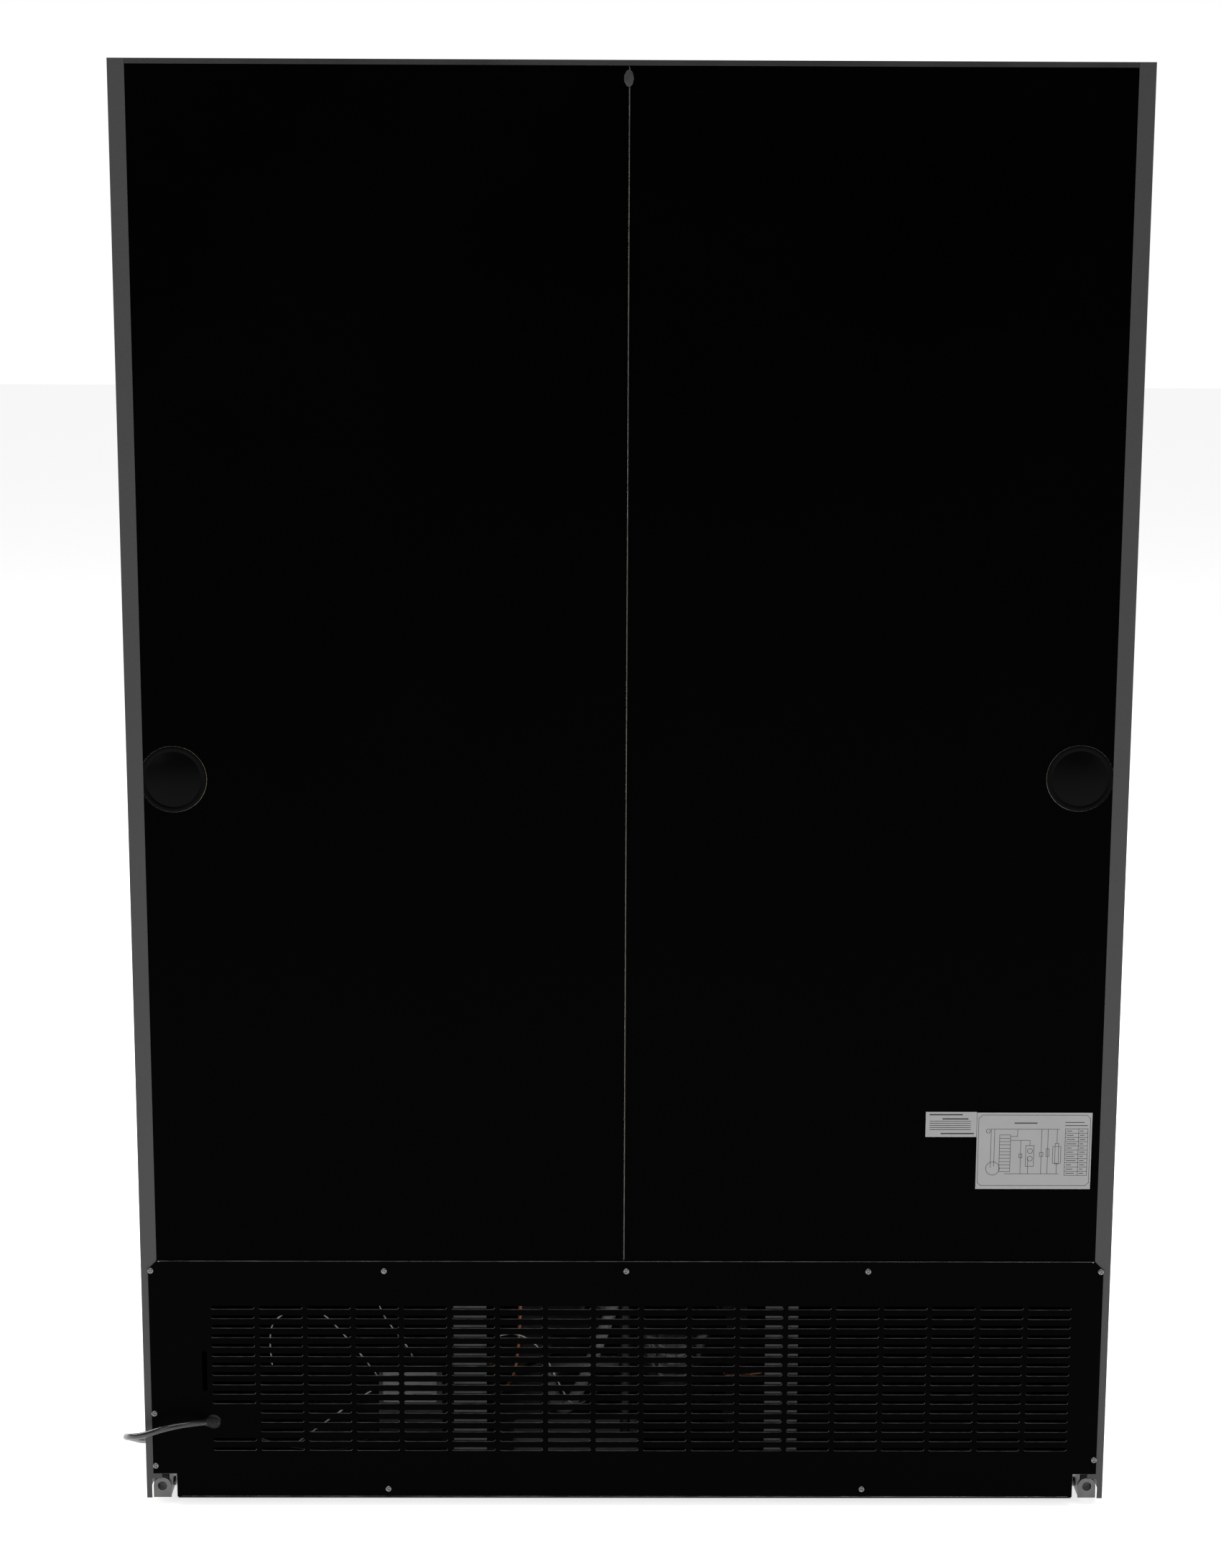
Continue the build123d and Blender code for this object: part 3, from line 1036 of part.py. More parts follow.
with BuildPart() as shelves_right:
    with BuildSketch(*rim_planes):
        with Locations(shelf_middle):
            Rectangle(shelf_width, shelf_depth)
            Rectangle(
                shelf_width - 2 * SHELF_ROD, shelf_depth - 2 * SHELF_ROD, mode=Mode.SUBTRACT
            )
            with GridLocations(shelf_width, shelf_depth / 3, 1, 2):
                Rectangle(shelf_width, SHELF_ROD)
    extrude(amount=SHELF_ROD)
    with BuildSketch(*wire_planes):
        with Locations(shelf_middle):
            with GridLocations(shelf_width / (SHELF_WIRES + 1), shelf_depth, SHELF_WIRES, 1):
                Rectangle(SHELF_WIRE, shelf_depth)
    extrude(amount=SHELF_WIRE)
shelves_right.part.label = "shelves_right"
shelves_left = mirrored(shelves_right, "shelves_left")

# ================================================================ doors
LIP_IN = BAR + BAR_LIP
GLASS_INSET = LIP_IN - GLASS_BITE
pane_front = DOOR_FRONT + BAR_WALL + GLASS_CLEARANCE
pane_back = pane_front + 2 * PANE + PANE_SPACE
rear_lip = pane_back + GLASS_CLEARANCE
DOOR_ROUND = 1.5
LIP_OVERLAP = 0.5


def door_rectangle(inset, mode=Mode.ADD):
    """The door's outline, seen from the front, moved in by inset."""
    Rectangle(DOOR_WIDTH - 2 * inset, DOOR_HEIGHT - 2 * inset, mode=mode)


with BuildPart() as door_bars_right:
    with BuildSketch(Plane.XZ.offset(-DOOR_BACK)):
        with Locations((DOOR_X, DOOR_Z)):
            door_rectangle(0)
            door_rectangle(BAR, Mode.SUBTRACT)
    extrude(amount=DOOR_DEPTH)
    fillet(door_bars_right.faces().sort_by(Axis.Y)[0].outer_wire().edges(), DOOR_ROUND)
    with BuildSketch(Plane.XZ.offset(-DOOR_BACK + BAR_WALL)):
        with Locations((DOOR_X, DOOR_Z)):
            door_rectangle(BAR_WALL)
            door_rectangle(BAR - BAR_WALL, Mode.SUBTRACT)
    extrude(amount=DOOR_DEPTH - 2 * BAR_WALL, mode=Mode.SUBTRACT)
    for lip_back in (DOOR_FRONT + BAR_WALL, rear_lip + BAR_WALL):
        with BuildSketch(Plane.XZ.offset(-lip_back)):
            with Locations((DOOR_X, DOOR_Z)):
                door_rectangle(BAR - LIP_OVERLAP)
                door_rectangle(LIP_IN, Mode.SUBTRACT)
        extrude(amount=BAR_WALL)
    for end in (DOOR_BOTTOM, DOOR_TOP):
        bush_hole = (PIVOT_X, PIVOT_Y, end)
        rod(bush_hole, BUSH_R + PIN_CLEARANCE, 4 * BAR_WALL, "Z", Mode.SUBTRACT)
    for x, toward_x in ((DOOR_IN, 1), (DOOR_OUT, -1)):
        for z, toward_z in ((DOOR_BOTTOM, 1), (DOOR_TOP, -1)):
            slope = -45 * toward_x * toward_z
            with Locations(Location((x, DOOR_FRONT + DOOR_DEPTH / 2, z), (0, slope, 0))):
                Box(4 * LIP_IN, 2 * DOOR_DEPTH, MITRE_KERF, mode=Mode.SUBTRACT)
door_bars_left = mirrored(door_bars_right, "door_bars_left")

SEALANT_GAP = 0.05
SPACER_INSET = 2.0
SPACER_WIDTH = 12.0

with BuildPart() as door_glass_right:
    for back in (pane_front + PANE, pane_back):
        with BuildSketch(Plane.XZ.offset(-back)):
            with Locations((DOOR_X, DOOR_Z)):
                door_rectangle(GLASS_INSET)
        extrude(amount=PANE)
    with BuildSketch(Plane.XZ.offset(-(pane_back - PANE - SEALANT_GAP))):
        with Locations((DOOR_X, DOOR_Z)):
            door_rectangle(GLASS_INSET + SPACER_INSET)
            door_rectangle(GLASS_INSET + SPACER_INSET + SPACER_WIDTH, Mode.SUBTRACT)
    extrude(amount=PANE_SPACE - 2 * SEALANT_GAP)
door_glass_right.part.label = "door_glass_right"
door_glass_left = mirrored(door_glass_right, "door_glass_left")

with BuildPart() as door_gasket_right:
    with BuildSketch(Plane.XZ.offset(-GASKET_BACK)):
        with Locations((DOOR_X, DOOR_Z)):
            door_rectangle(GASKET_INSET)
            door_rectangle(GASKET_INSET + GASKET_WIDTH, Mode.SUBTRACT)
    extrude(amount=GASKET_DEPTH)
door_gasket_right.part.label = "door_gasket_right"
door_gasket_left = mirrored(door_gasket_right, "door_gasket_left")

HANDLE_INSET = 17.0
HANDLE_ROUND = 3.0
handle_x = (DOOR_IN + HANDLE_INSET, DOOR_IN + HANDLE_INSET + HANDLE_WIDTH)
handle_top = HANDLE_BOTTOM + HANDLE_LENGTH

with BuildPart() as door_handle_right:
    bar_y = (HANDLE_FRONT, HANDLE_FRONT + HANDLE_BAR)
    block(handle_x, bar_y, (HANDLE_BOTTOM, handle_top))
    fillet(door_handle_right.edges().filter_by(Axis.Z).group_by(Axis.Y)[0], HANDLE_ROUND)
    for low in (HANDLE_BOTTOM, handle_top - HANDLE_FOOT):
        block(handle_x, (bar_y[1], DOOR_FRONT), (low, low + HANDLE_FOOT))
door_handle_right.part.label = "door_handle_right"
door_handle_left = mirrored(door_handle_right, "door_handle_left")

with BuildPart() as hinge_bushes_right:
    for face, inward in ((DOOR_BOTTOM, 1), (DOOR_TOP, -1)):
        rod((PIVOT_X, PIVOT_Y, face + inward * BUSH_LENGTH / 2), BUSH_R, BUSH_LENGTH, "Z")
        rod((PIVOT_X, PIVOT_Y, face - inward * BUSH_FLANGE / 2), BUSH_FLANGE_R, BUSH_FLANGE, "Z")
        bore = (PIVOT_X, PIVOT_Y, face)
        rod(bore, PIN_R + PIN_CLEARANCE, 4 * BUSH_LENGTH, "Z", Mode.SUBTRACT)
hinge_bushes_left = mirrored(hinge_bushes_right, "hinge_bushes_left")

BRACKET_IN = DOOR_OUT - 39.0
BRACKET_REACH = 15.0  # plate in front of the pivot
BRACKET_LEG = 23.0

with BuildPart() as hinge_bracket_right:
    for face, inward in ((DOOR_BOTTOM, 1), (DOOR_TOP, -1)):
        near = face - inward * BRACKET_GAP
        far = near - inward * BRACKET
        block((BRACKET_IN, DOOR_OUT), (PIVOT_Y - BRACKET_REACH, FACE), sorted((near, far)))
        leg_z = sorted((far, far + inward * BRACKET_LEG))
        block((BRACKET_IN, DOOR_OUT), (FACE - BRACKET, FACE), leg_z)
        pin_end = near + inward * PIN_LENGTH
        pin_length = abs(pin_end - near)
        rod((PIVOT_X, PIVOT_Y, (near + pin_end) / 2), PIN_R, pin_length, "Z")
hinge_bracket_left = mirrored(hinge_bracket_right, "hinge_bracket_left")

# ================================================================ power cord
GLAND_TIP_R = 5.2
GLAND_ROOT_R = 6.0
GLAND_LENGTH = 24.0
COLLAR = 5.0
COLLAR_RIM = 4.0
COLLAR_GAP = 0.5  # collar behind the panel
COIL_MIDDLE = (638.0, -425.0)
COIL_OUT_R = 64.0
COIL_IN_R = 36.0
COIL_BOTTOM = 0.5
COIL_TOP = 19.5
COIL_ROUND = 6.0

CORD_ROUTE = [
    (589.1, 404.4, 128.5),
    (613.9, 423.7, 134.3),
    (645.5, 429, 129.2),
    (672, 421, 116.5),
    (697, 402, 105.5),
    (709, 365, 90),
    (707, 317, 67),
    (702, 261, 38),
    (697, 200, 13),
    (693, 139, 5),
    (697, 62, 5),
    (692, -22, 5),
    (696, -104, 5),
    (691, -184, 5),
    (694, -262, 5),
    (689.5, -338, 5),
    (697, -410, 5),
]


def bend_radii(route):
    """Each bend's radius: 0.45 of the shorter run beside it over the tangent of half its turn."""
    radii = []
    for before, corner, after in zip(route, route[1:], route[2:]):
        run_in = Vector(*corner) - Vector(*before)
        run_out = Vector(*after) - Vector(*corner)
        half_turn = math.radians(run_in.get_angle(run_out)) / 2
        radii.append(0.45 * min(run_in.length, run_out.length) / math.tan(half_turn))
    return radii


gland_tip = Vector(*CORD_ROUTE[0])
gland_axis = (Vector(*CORD_ROUTE[1]) - gland_tip).normalized()

with BuildPart() as cord_gland:
    with BuildSketch(Plane(gland_tip - gland_axis * GLAND_LENGTH, z_dir=gland_axis)):
        Circle(GLAND_ROOT_R)
    with BuildSketch(Plane(gland_tip, z_dir=gland_axis)):
        Circle(GLAND_TIP_R)
    loft()
    collar_place = (CORD_HOLE[0], FLANGE_OUT - COLLAR_GAP - COLLAR / 2, CORD_HOLE[1])
    rod(collar_place, CORD_HOLE_R + COLLAR_RIM, COLLAR, "Y")
cord_gland.part.label = "cord_gland"

cord_radii = bend_radii(CORD_ROUTE)
print("cord bend radii:", [round(radius) for radius in cord_radii])

with BuildPart() as cord_tube:
    with BuildLine() as cord_path:
        FilletPolyline(*CORD_ROUTE, radius=cord_radii)
    with BuildSketch(Plane(cord_path.line @ 0, z_dir=cord_path.line % 0)):
        Circle(CORD_R)
    sweep(path=cord_path.line)
cord_tube.part.label = "cord_tube"
cord_length = cord_path.wire().length
swept_share = cord_tube.part.volume / (math.pi * CORD_R**2 * cord_length)
print(f"cord length: {cord_length:.0f}, volume over section by length: {swept_share:.4f}")

with BuildPart() as cord_coil:
    with BuildSketch(Plane.XY.offset(COIL_BOTTOM)):
        with Locations(COIL_MIDDLE):
            Circle(COIL_OUT_R)
            Circle(COIL_IN_R, mode=Mode.SUBTRACT)
    extrude(amount=COIL_TOP - COIL_BOTTOM)
    fillet(cord_coil.edges().filter_by(GeomType.CIRCLE).group_by(Axis.Z)[-1], COIL_ROUND)
cord_coil.part.label = "cord_coil"

PLUG_X = 558.0
PLUG_TAIL_Y = -405.0
PLUG_TAIL = 26.0
PLUG_BODY = 34.0
PLUG_WIDTH = 28.0
PLUG_HEIGHT = 24.0
PLUG_CORNER = 7.0
PLUG_NECK_R = 10.5
BLADE = (6.3, 1.5, 17.0)
BLADE_SPACING = 12.7
BLADE_RISE = 4.0
BLADE_ROOT = 1.0
GROUND_PIN_R = 2.4
GROUND_PIN_DROP = 6.0
GROUND_PIN_LENGTH = 19.0
plug_z = PLUG_HEIGHT / 2
plug_front = PLUG_TAIL_Y + PLUG_TAIL + PLUG_BODY

with BuildPart() as cord_plug:
    with BuildSketch(Plane.XZ.offset(-(PLUG_TAIL_Y + PLUG_TAIL))):
        with Locations((PLUG_X, plug_z)):
            RectangleRounded(PLUG_WIDTH, PLUG_HEIGHT, PLUG_CORNER)
    extrude(amount=-PLUG_BODY)
    with BuildSketch(Plane.XZ.offset(-PLUG_TAIL_Y)):
        with Locations((PLUG_X, plug_z)):
            Circle(GLAND_TIP_R)
    with BuildSketch(Plane.XZ.offset(-(PLUG_TAIL_Y + PLUG_TAIL))):
        with Locations((PLUG_X, plug_z)):
            Circle(PLUG_NECK_R)
    loft()
    for side in (-1, 1):
        blade_x = PLUG_X + side * BLADE_SPACING / 2
        blade_y = (plug_front - BLADE_ROOT, plug_front + BLADE[2])
        blade_middle = plug_z + BLADE_RISE
        blade_z = (blade_middle - BLADE[0] / 2, blade_middle + BLADE[0] / 2)
        block((blade_x - BLADE[1] / 2, blade_x + BLADE[1] / 2), blade_y, blade_z)
    ground_y = (plug_front - BLADE_ROOT, plug_front + GROUND_PIN_LENGTH)
    ground = (PLUG_X, sum(ground_y) / 2, plug_z - GROUND_PIN_DROP)
    rod(ground, GROUND_PIN_R, ground_y[1] - ground_y[0], "Y")
cord_plug.part.label = "cord_plug"


# ================================================================ groups of separate solids, and files
def group(name, *members):
    """Several separate pieces that share one name."""
    solids = [solid for member in members for solid in member.part.solids()]
    bundle = Compound(children=solids)
    bundle.label = name
    return bundle


grouped = [
    group("insulation", foam_back, foam_left, foam_right, foam_ceiling, foam_floor),
    group("liner", liner_back, liner_left, liner_right, liner_ceiling, liner_floor),
    group("face_frame", jamb_left, jamb_right, sill, bulkhead),
    group("base_frame", front_rail, rear_rail, side_rail_left, side_rail_right),
    group("galvanised_decks", machine_deck, box_underside),
    group("rear_brackets", bracket_left, bracket_right, roller_axles),
    group("refrigerant_pipes", discharge_pipe, liquid_pipe, riser_pipe, filter_drier),
    group("hinge_brackets", hinge_bracket_left, hinge_bracket_right),
    group("door_frame_left", door_bars_left, hinge_bushes_left),
    group("door_frame_right", door_bars_right, hinge_bushes_right),
]
single = [
    side_panel_left, side_panel_right, top_panel, back_panel_left, back_panel_right,
    foam_port_plugs, louver_panel, rear_screws, labels, front_grille,
    mullion, light_box, sign_panel, light_bars, rear_posts,
    rear_roller_left, rear_roller_right, levelling_foot_left, levelling_foot_right,
    compressor, compressor_grommets, condenser_coil, condenser_shroud, condenser_fan,
    condenser_motor, suction_line, drain_pan, drain_tube, junction_box,
    evaporator_housing, evaporator_coil, evaporator_fan_left, evaporator_fan_right,
    evaporator_motors, thermostat_knob, light_switch,
    shelf_pilasters, shelf_clips, shelves_left, shelves_right,
    door_glass_left, door_glass_right,
    door_gasket_left, door_gasket_right, door_handle_left, door_handle_right,
    cord_gland, cord_tube, cord_coil, cord_plug,
]

os.makedirs("parts", exist_ok=True)
for piece in grouped + [builder.part for builder in single]:
    export_step(piece, f"parts/{piece.label}.step")
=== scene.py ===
"""Two-door glass merchandiser: finishes and fine detail around the cabinet's fixed frame, in metres.

-Y faces the user at the doors, +Y is the louvred rear, +Z is up and the floor is at zero.
"""

import math

import bmesh
import bpy
from bpy.props import FloatProperty, FloatVectorProperty, IntProperty, PointerProperty
from mathutils import Matrix, Vector


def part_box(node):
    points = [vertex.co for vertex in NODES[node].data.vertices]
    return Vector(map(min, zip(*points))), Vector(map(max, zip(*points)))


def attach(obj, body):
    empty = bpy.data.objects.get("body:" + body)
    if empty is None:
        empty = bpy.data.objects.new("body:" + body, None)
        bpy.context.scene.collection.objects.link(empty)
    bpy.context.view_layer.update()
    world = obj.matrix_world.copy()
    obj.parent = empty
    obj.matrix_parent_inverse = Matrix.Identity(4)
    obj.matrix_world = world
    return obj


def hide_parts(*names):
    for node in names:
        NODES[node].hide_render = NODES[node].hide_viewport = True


bl_info = {
    "name": "Glass door merchandiser",
    "version": (1, 0, 0),
    "blender": (4, 5, 0),
    "location": "3D View > Sidebar > Merchandiser",
    "description": "Dresses an upright glass door display cabinet, piece by piece",
    "category": "Object",
}

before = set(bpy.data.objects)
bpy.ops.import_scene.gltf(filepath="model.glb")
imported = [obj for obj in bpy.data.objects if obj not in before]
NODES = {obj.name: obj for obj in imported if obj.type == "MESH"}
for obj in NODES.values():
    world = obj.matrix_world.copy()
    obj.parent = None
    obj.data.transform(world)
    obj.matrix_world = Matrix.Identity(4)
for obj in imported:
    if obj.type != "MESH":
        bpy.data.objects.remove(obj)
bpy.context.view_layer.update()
TAU = 2 * math.pi
PATCH_EDGES = (0.3, 0.7)  # of the noise, where a finish's patches begin and end
GRAIN_HEIGHT = 0.0006
LAMP_TINT = (0.95, 0.98, 1.0, 1)
DARKEN_BLUR = 0.002  # half the blur at the edge where a finish is darkened
BRAID_LEAN = math.radians(40)


# ---------------------------------------------------------------- settings
def colour(label, text, value):
    """A colour setting."""
    return FloatVectorProperty(
        name=label, description=text, default=value, subtype="COLOR", size=3, min=0.0, max=1.0
    )


def length(label, text, value):
    """A length setting in metres."""
    return FloatProperty(name=label, description=text, default=value, min=0.0, unit="LENGTH")


class CabinetColours(bpy.types.PropertyGroup):
    """Paints and plastics of the cabinet."""

    casing: colour("Casing", "Satin powder coat of the side panels", (0.028, 0.028, 0.0292))
    rear: colour("Rear sheets", "Black pre-painted steel of the back", (0.0003, 0.0003, 0.00032))
    louvre: colour("Louvred panel", "Matt black of the machine panel", (0.0007, 0.0007, 0.00073))
    liner: colour("Liner", "White coating inside the cabinet", (0.78, 0.79, 0.78))
    label: colour("Label stock", "Silver-grey label foil", (0.28, 0.28, 0.28))
    hose: colour("Hose sleeve", "Braided sleeve of the suction hose", (0.52, 0.53, 0.51))
    sign: colour("Sign face", "Acrylic of the header sign", (0.50, 0.55, 0.60))


class CabinetSizes(bpy.types.PropertyGroup):
    """Small sizes of the pieces that repeat."""

    screw_head: length("Screw head", "Diameter of a pan head", 0.0088)
    screw_dome: length("Screw dome", "Height of a pan head", 0.0025)
    slot_lip: length("Slot lip", "Width of the rolled edge round a louvre slot", 0.0007)
    shelf_wire: length("Shelf wire", "Diameter of a shelf's long wires", 0.003)
    shelf_rim: length("Shelf rim", "Diameter of a shelf's rim rod", 0.006)
    fin_pitch: length("Fin pitch", "Distance between coil fins", 0.0042)
    pilaster_pitch: length("Pilaster pitch", "Distance between pilaster slots", 0.025)
    guard_rings: IntProperty(
        name="Guard rings", description="Rings in each fan guard", default=7, min=3, max=12
    )


class StageSettings(bpy.types.PropertyGroup):
    """Floor, light and camera."""

    floor: colour("Floor", "Colour of the floor", (0.93, 0.93, 0.93))
    lens: FloatProperty(
        name="Lens", description="Focal length", default=65.93, min=10.0, unit="CAMERA"
    )
    strength: FloatProperty(name="Light", description="Strength of the sky", default=0.22, min=0.0)


def colours():
    """The colour settings."""
    return bpy.context.scene.cabinet_colours


def sizes():
    """The size settings."""
    return bpy.context.scene.cabinet_sizes


# ---------------------------------------------------------------- materials
def add_node(tree, kind, inputs=None, **traits):
    """A node with its traits and inputs: an input that is given a socket is linked to it."""
    node = tree.nodes.new(kind)
    for trait, value in traits.items():
        setattr(node, trait, value)
    for name, value in (inputs or {}).items():
        if isinstance(value, bpy.types.NodeSocket):
            tree.links.new(value, node.inputs[name])
        else:
            node.inputs[name].default_value = value
    return node


def add_bump(tree, height, strength, distance):
    """Raises a height on a material's surface."""
    raised = add_node(tree, "ShaderNodeBump",
                      {"Height": height, "Strength": strength, "Distance": distance})
    tree.links.new(raised.outputs["Normal"], tree.nodes["Principled BSDF"].inputs["Normal"])


def finish(name, color, rough=0.5, metal=0.0, specular=0.5, mottle=0.12, mottle_scale=9.0,
           spread=0.08, grain=0.1, grain_scale=350.0, coat=0.0, stretch=(1, 1, 1), lamp=0.0):
    """A surface with patches of tone and gloss, and a fine grain raised on it."""
    material = bpy.data.materials.get(name)
    if material:
        return material
    material = bpy.data.materials.new(name)
    material.use_nodes = True
    tree = material.node_tree
    shader = tree.nodes["Principled BSDF"].inputs
    place = add_node(tree, "ShaderNodeTexCoord").outputs["Object"]
    lie = add_node(tree, "ShaderNodeMapping", {"Vector": place, "Scale": stretch})
    lie = lie.outputs["Vector"]
    patches = add_node(tree, "ShaderNodeTexNoise",
                       {"Vector": lie, "Scale": mottle_scale, "Detail": 4.0}).outputs["Fac"]
    tone = add_node(tree, "ShaderNodeValToRGB", {"Fac": patches})
    shares = (1 - mottle, 1 + mottle)
    for stop, edge, share in zip(tone.color_ramp.elements, PATCH_EDGES, shares):
        stop.position = edge
        stop.color = (*(min(1.0, channel * share) for channel in color), 1)
    tree.links.new(tone.outputs["Color"], shader["Base Color"])
    gloss = add_node(tree, "ShaderNodeMapRange", {
        "Value": patches, "From Min": PATCH_EDGES[0], "From Max": PATCH_EDGES[1],
        "To Min": max(0.02, rough - spread), "To Max": min(1.0, rough + spread),
    })
    tree.links.new(gloss.outputs["Result"], shader["Roughness"])
    if grain > 0:
        fine = add_node(tree, "ShaderNodeTexNoise",
                        {"Vector": lie, "Scale": grain_scale, "Detail": 2.0})
        add_bump(tree, fine.outputs["Fac"], grain, GRAIN_HEIGHT)
    shader["Metallic"].default_value = metal
    shader["Specular IOR Level"].default_value = specular
    shader["Coat Weight"].default_value = coat
    if lamp > 0:
        shader["Emission Color"].default_value = LAMP_TINT
        shader["Emission Strength"].default_value = lamp
    return material


def spangled(name, color, rough=0.35, scale=55.0):
    """Hot-dip galvanised steel: crystal spangles that differ in tone and gloss."""
    material = finish(name, color, rough=rough, metal=0.85, mottle=0.15, grain=0.04)
    tree = material.node_tree
    place = tree.nodes["Texture Coordinate"].outputs["Object"]
    crystals = add_node(tree, "ShaderNodeTexVoronoi", {"Vector": place, "Scale": scale})
    grey = add_node(tree, "ShaderNodeRGBToBW", {"Color": crystals.outputs["Color"]})
    tone = add_node(tree, "ShaderNodeMapRange",
                    {"Value": grey.outputs["Val"], "To Min": 0.72, "To Max": 1.1})
    mix = add_node(tree, "ShaderNodeMix", {
        "Factor": 1.0,
        "A": tree.nodes["Color Ramp"].outputs["Color"],
        "B": tone.outputs["Result"],
    }, data_type="RGBA", blend_type="MULTIPLY")
    shader = tree.nodes["Principled BSDF"].inputs
    tree.links.new(mix.outputs["Result"], shader["Base Color"])
    return material


def darken_outside(material, dark_tone, axis, low, high):
    """Keeps a finish between two places on an axis, and gives it a flat dark tone beyond them."""
    tree = material.node_tree
    shader = tree.nodes["Principled BSDF"].inputs
    place = tree.nodes["Texture Coordinate"].outputs["Object"]
    spread = add_node(tree, "ShaderNodeSeparateXYZ", {"Vector": place})
    inside = add_node(tree, "ShaderNodeMath", operation="MULTIPLY")
    for index, (edge, blur) in enumerate(((low, DARKEN_BLUR), (high, -DARKEN_BLUR))):
        mask = add_node(tree, "ShaderNodeMapRange", {
            "Value": spread.outputs[axis], "From Min": edge - blur, "From Max": edge + blur,
        })
        tree.links.new(mask.outputs["Result"], inside.inputs[index])
    blend = add_node(tree, "ShaderNodeMix", {
        "Factor": inside.outputs["Value"],
        "A": (*dark_tone, 1),
        "B": shader["Base Color"].links[0].from_socket,
    }, data_type="RGBA")
    tree.links.new(blend.outputs["Result"], shader["Base Color"])
    if shader["Metallic"].default_value > 0:
        tree.links.new(inside.outputs["Value"], shader["Metallic"])
    return material


def clear_glass(name, tint, rough=0.02):
    """Clear glass that lets light through, with a faint smear."""
    material = finish(name, tint, rough=rough + 0.02, spread=0.015, mottle=0.02, grain=0.0,
                      mottle_scale=3.0)
    shader = material.node_tree.nodes["Principled BSDF"]
    shader.inputs["Transmission Weight"].default_value = 1.0
    shader.inputs["IOR"].default_value = 1.2
    return material


def braided(name, color, along, around):
    """A braided sleeve: two sets of strands that wind opposite ways, on the piece's own UV map."""
    material = finish(name, color, rough=0.6, mottle=0.2, grain=0.0)
    tree = material.node_tree
    uv = add_node(tree, "ShaderNodeUVMap").outputs["UV"]
    weave = add_node(tree, "ShaderNodeMath", operation="MAXIMUM")
    for index, turn in enumerate((BRAID_LEAN, -BRAID_LEAN)):
        lean = add_node(tree, "ShaderNodeMapping",
                        {"Vector": uv, "Scale": (along, around, 1), "Rotation": (0, 0, turn)})
        strands = add_node(tree, "ShaderNodeTexWave", {
            "Vector": lean.outputs["Vector"], "Scale": 1.0, "Distortion": 0.3,
        })
        tree.links.new(strands.outputs["Fac"], weave.inputs[index])
    add_bump(tree, weave.outputs["Value"], 0.8, 0.0008)
    return material


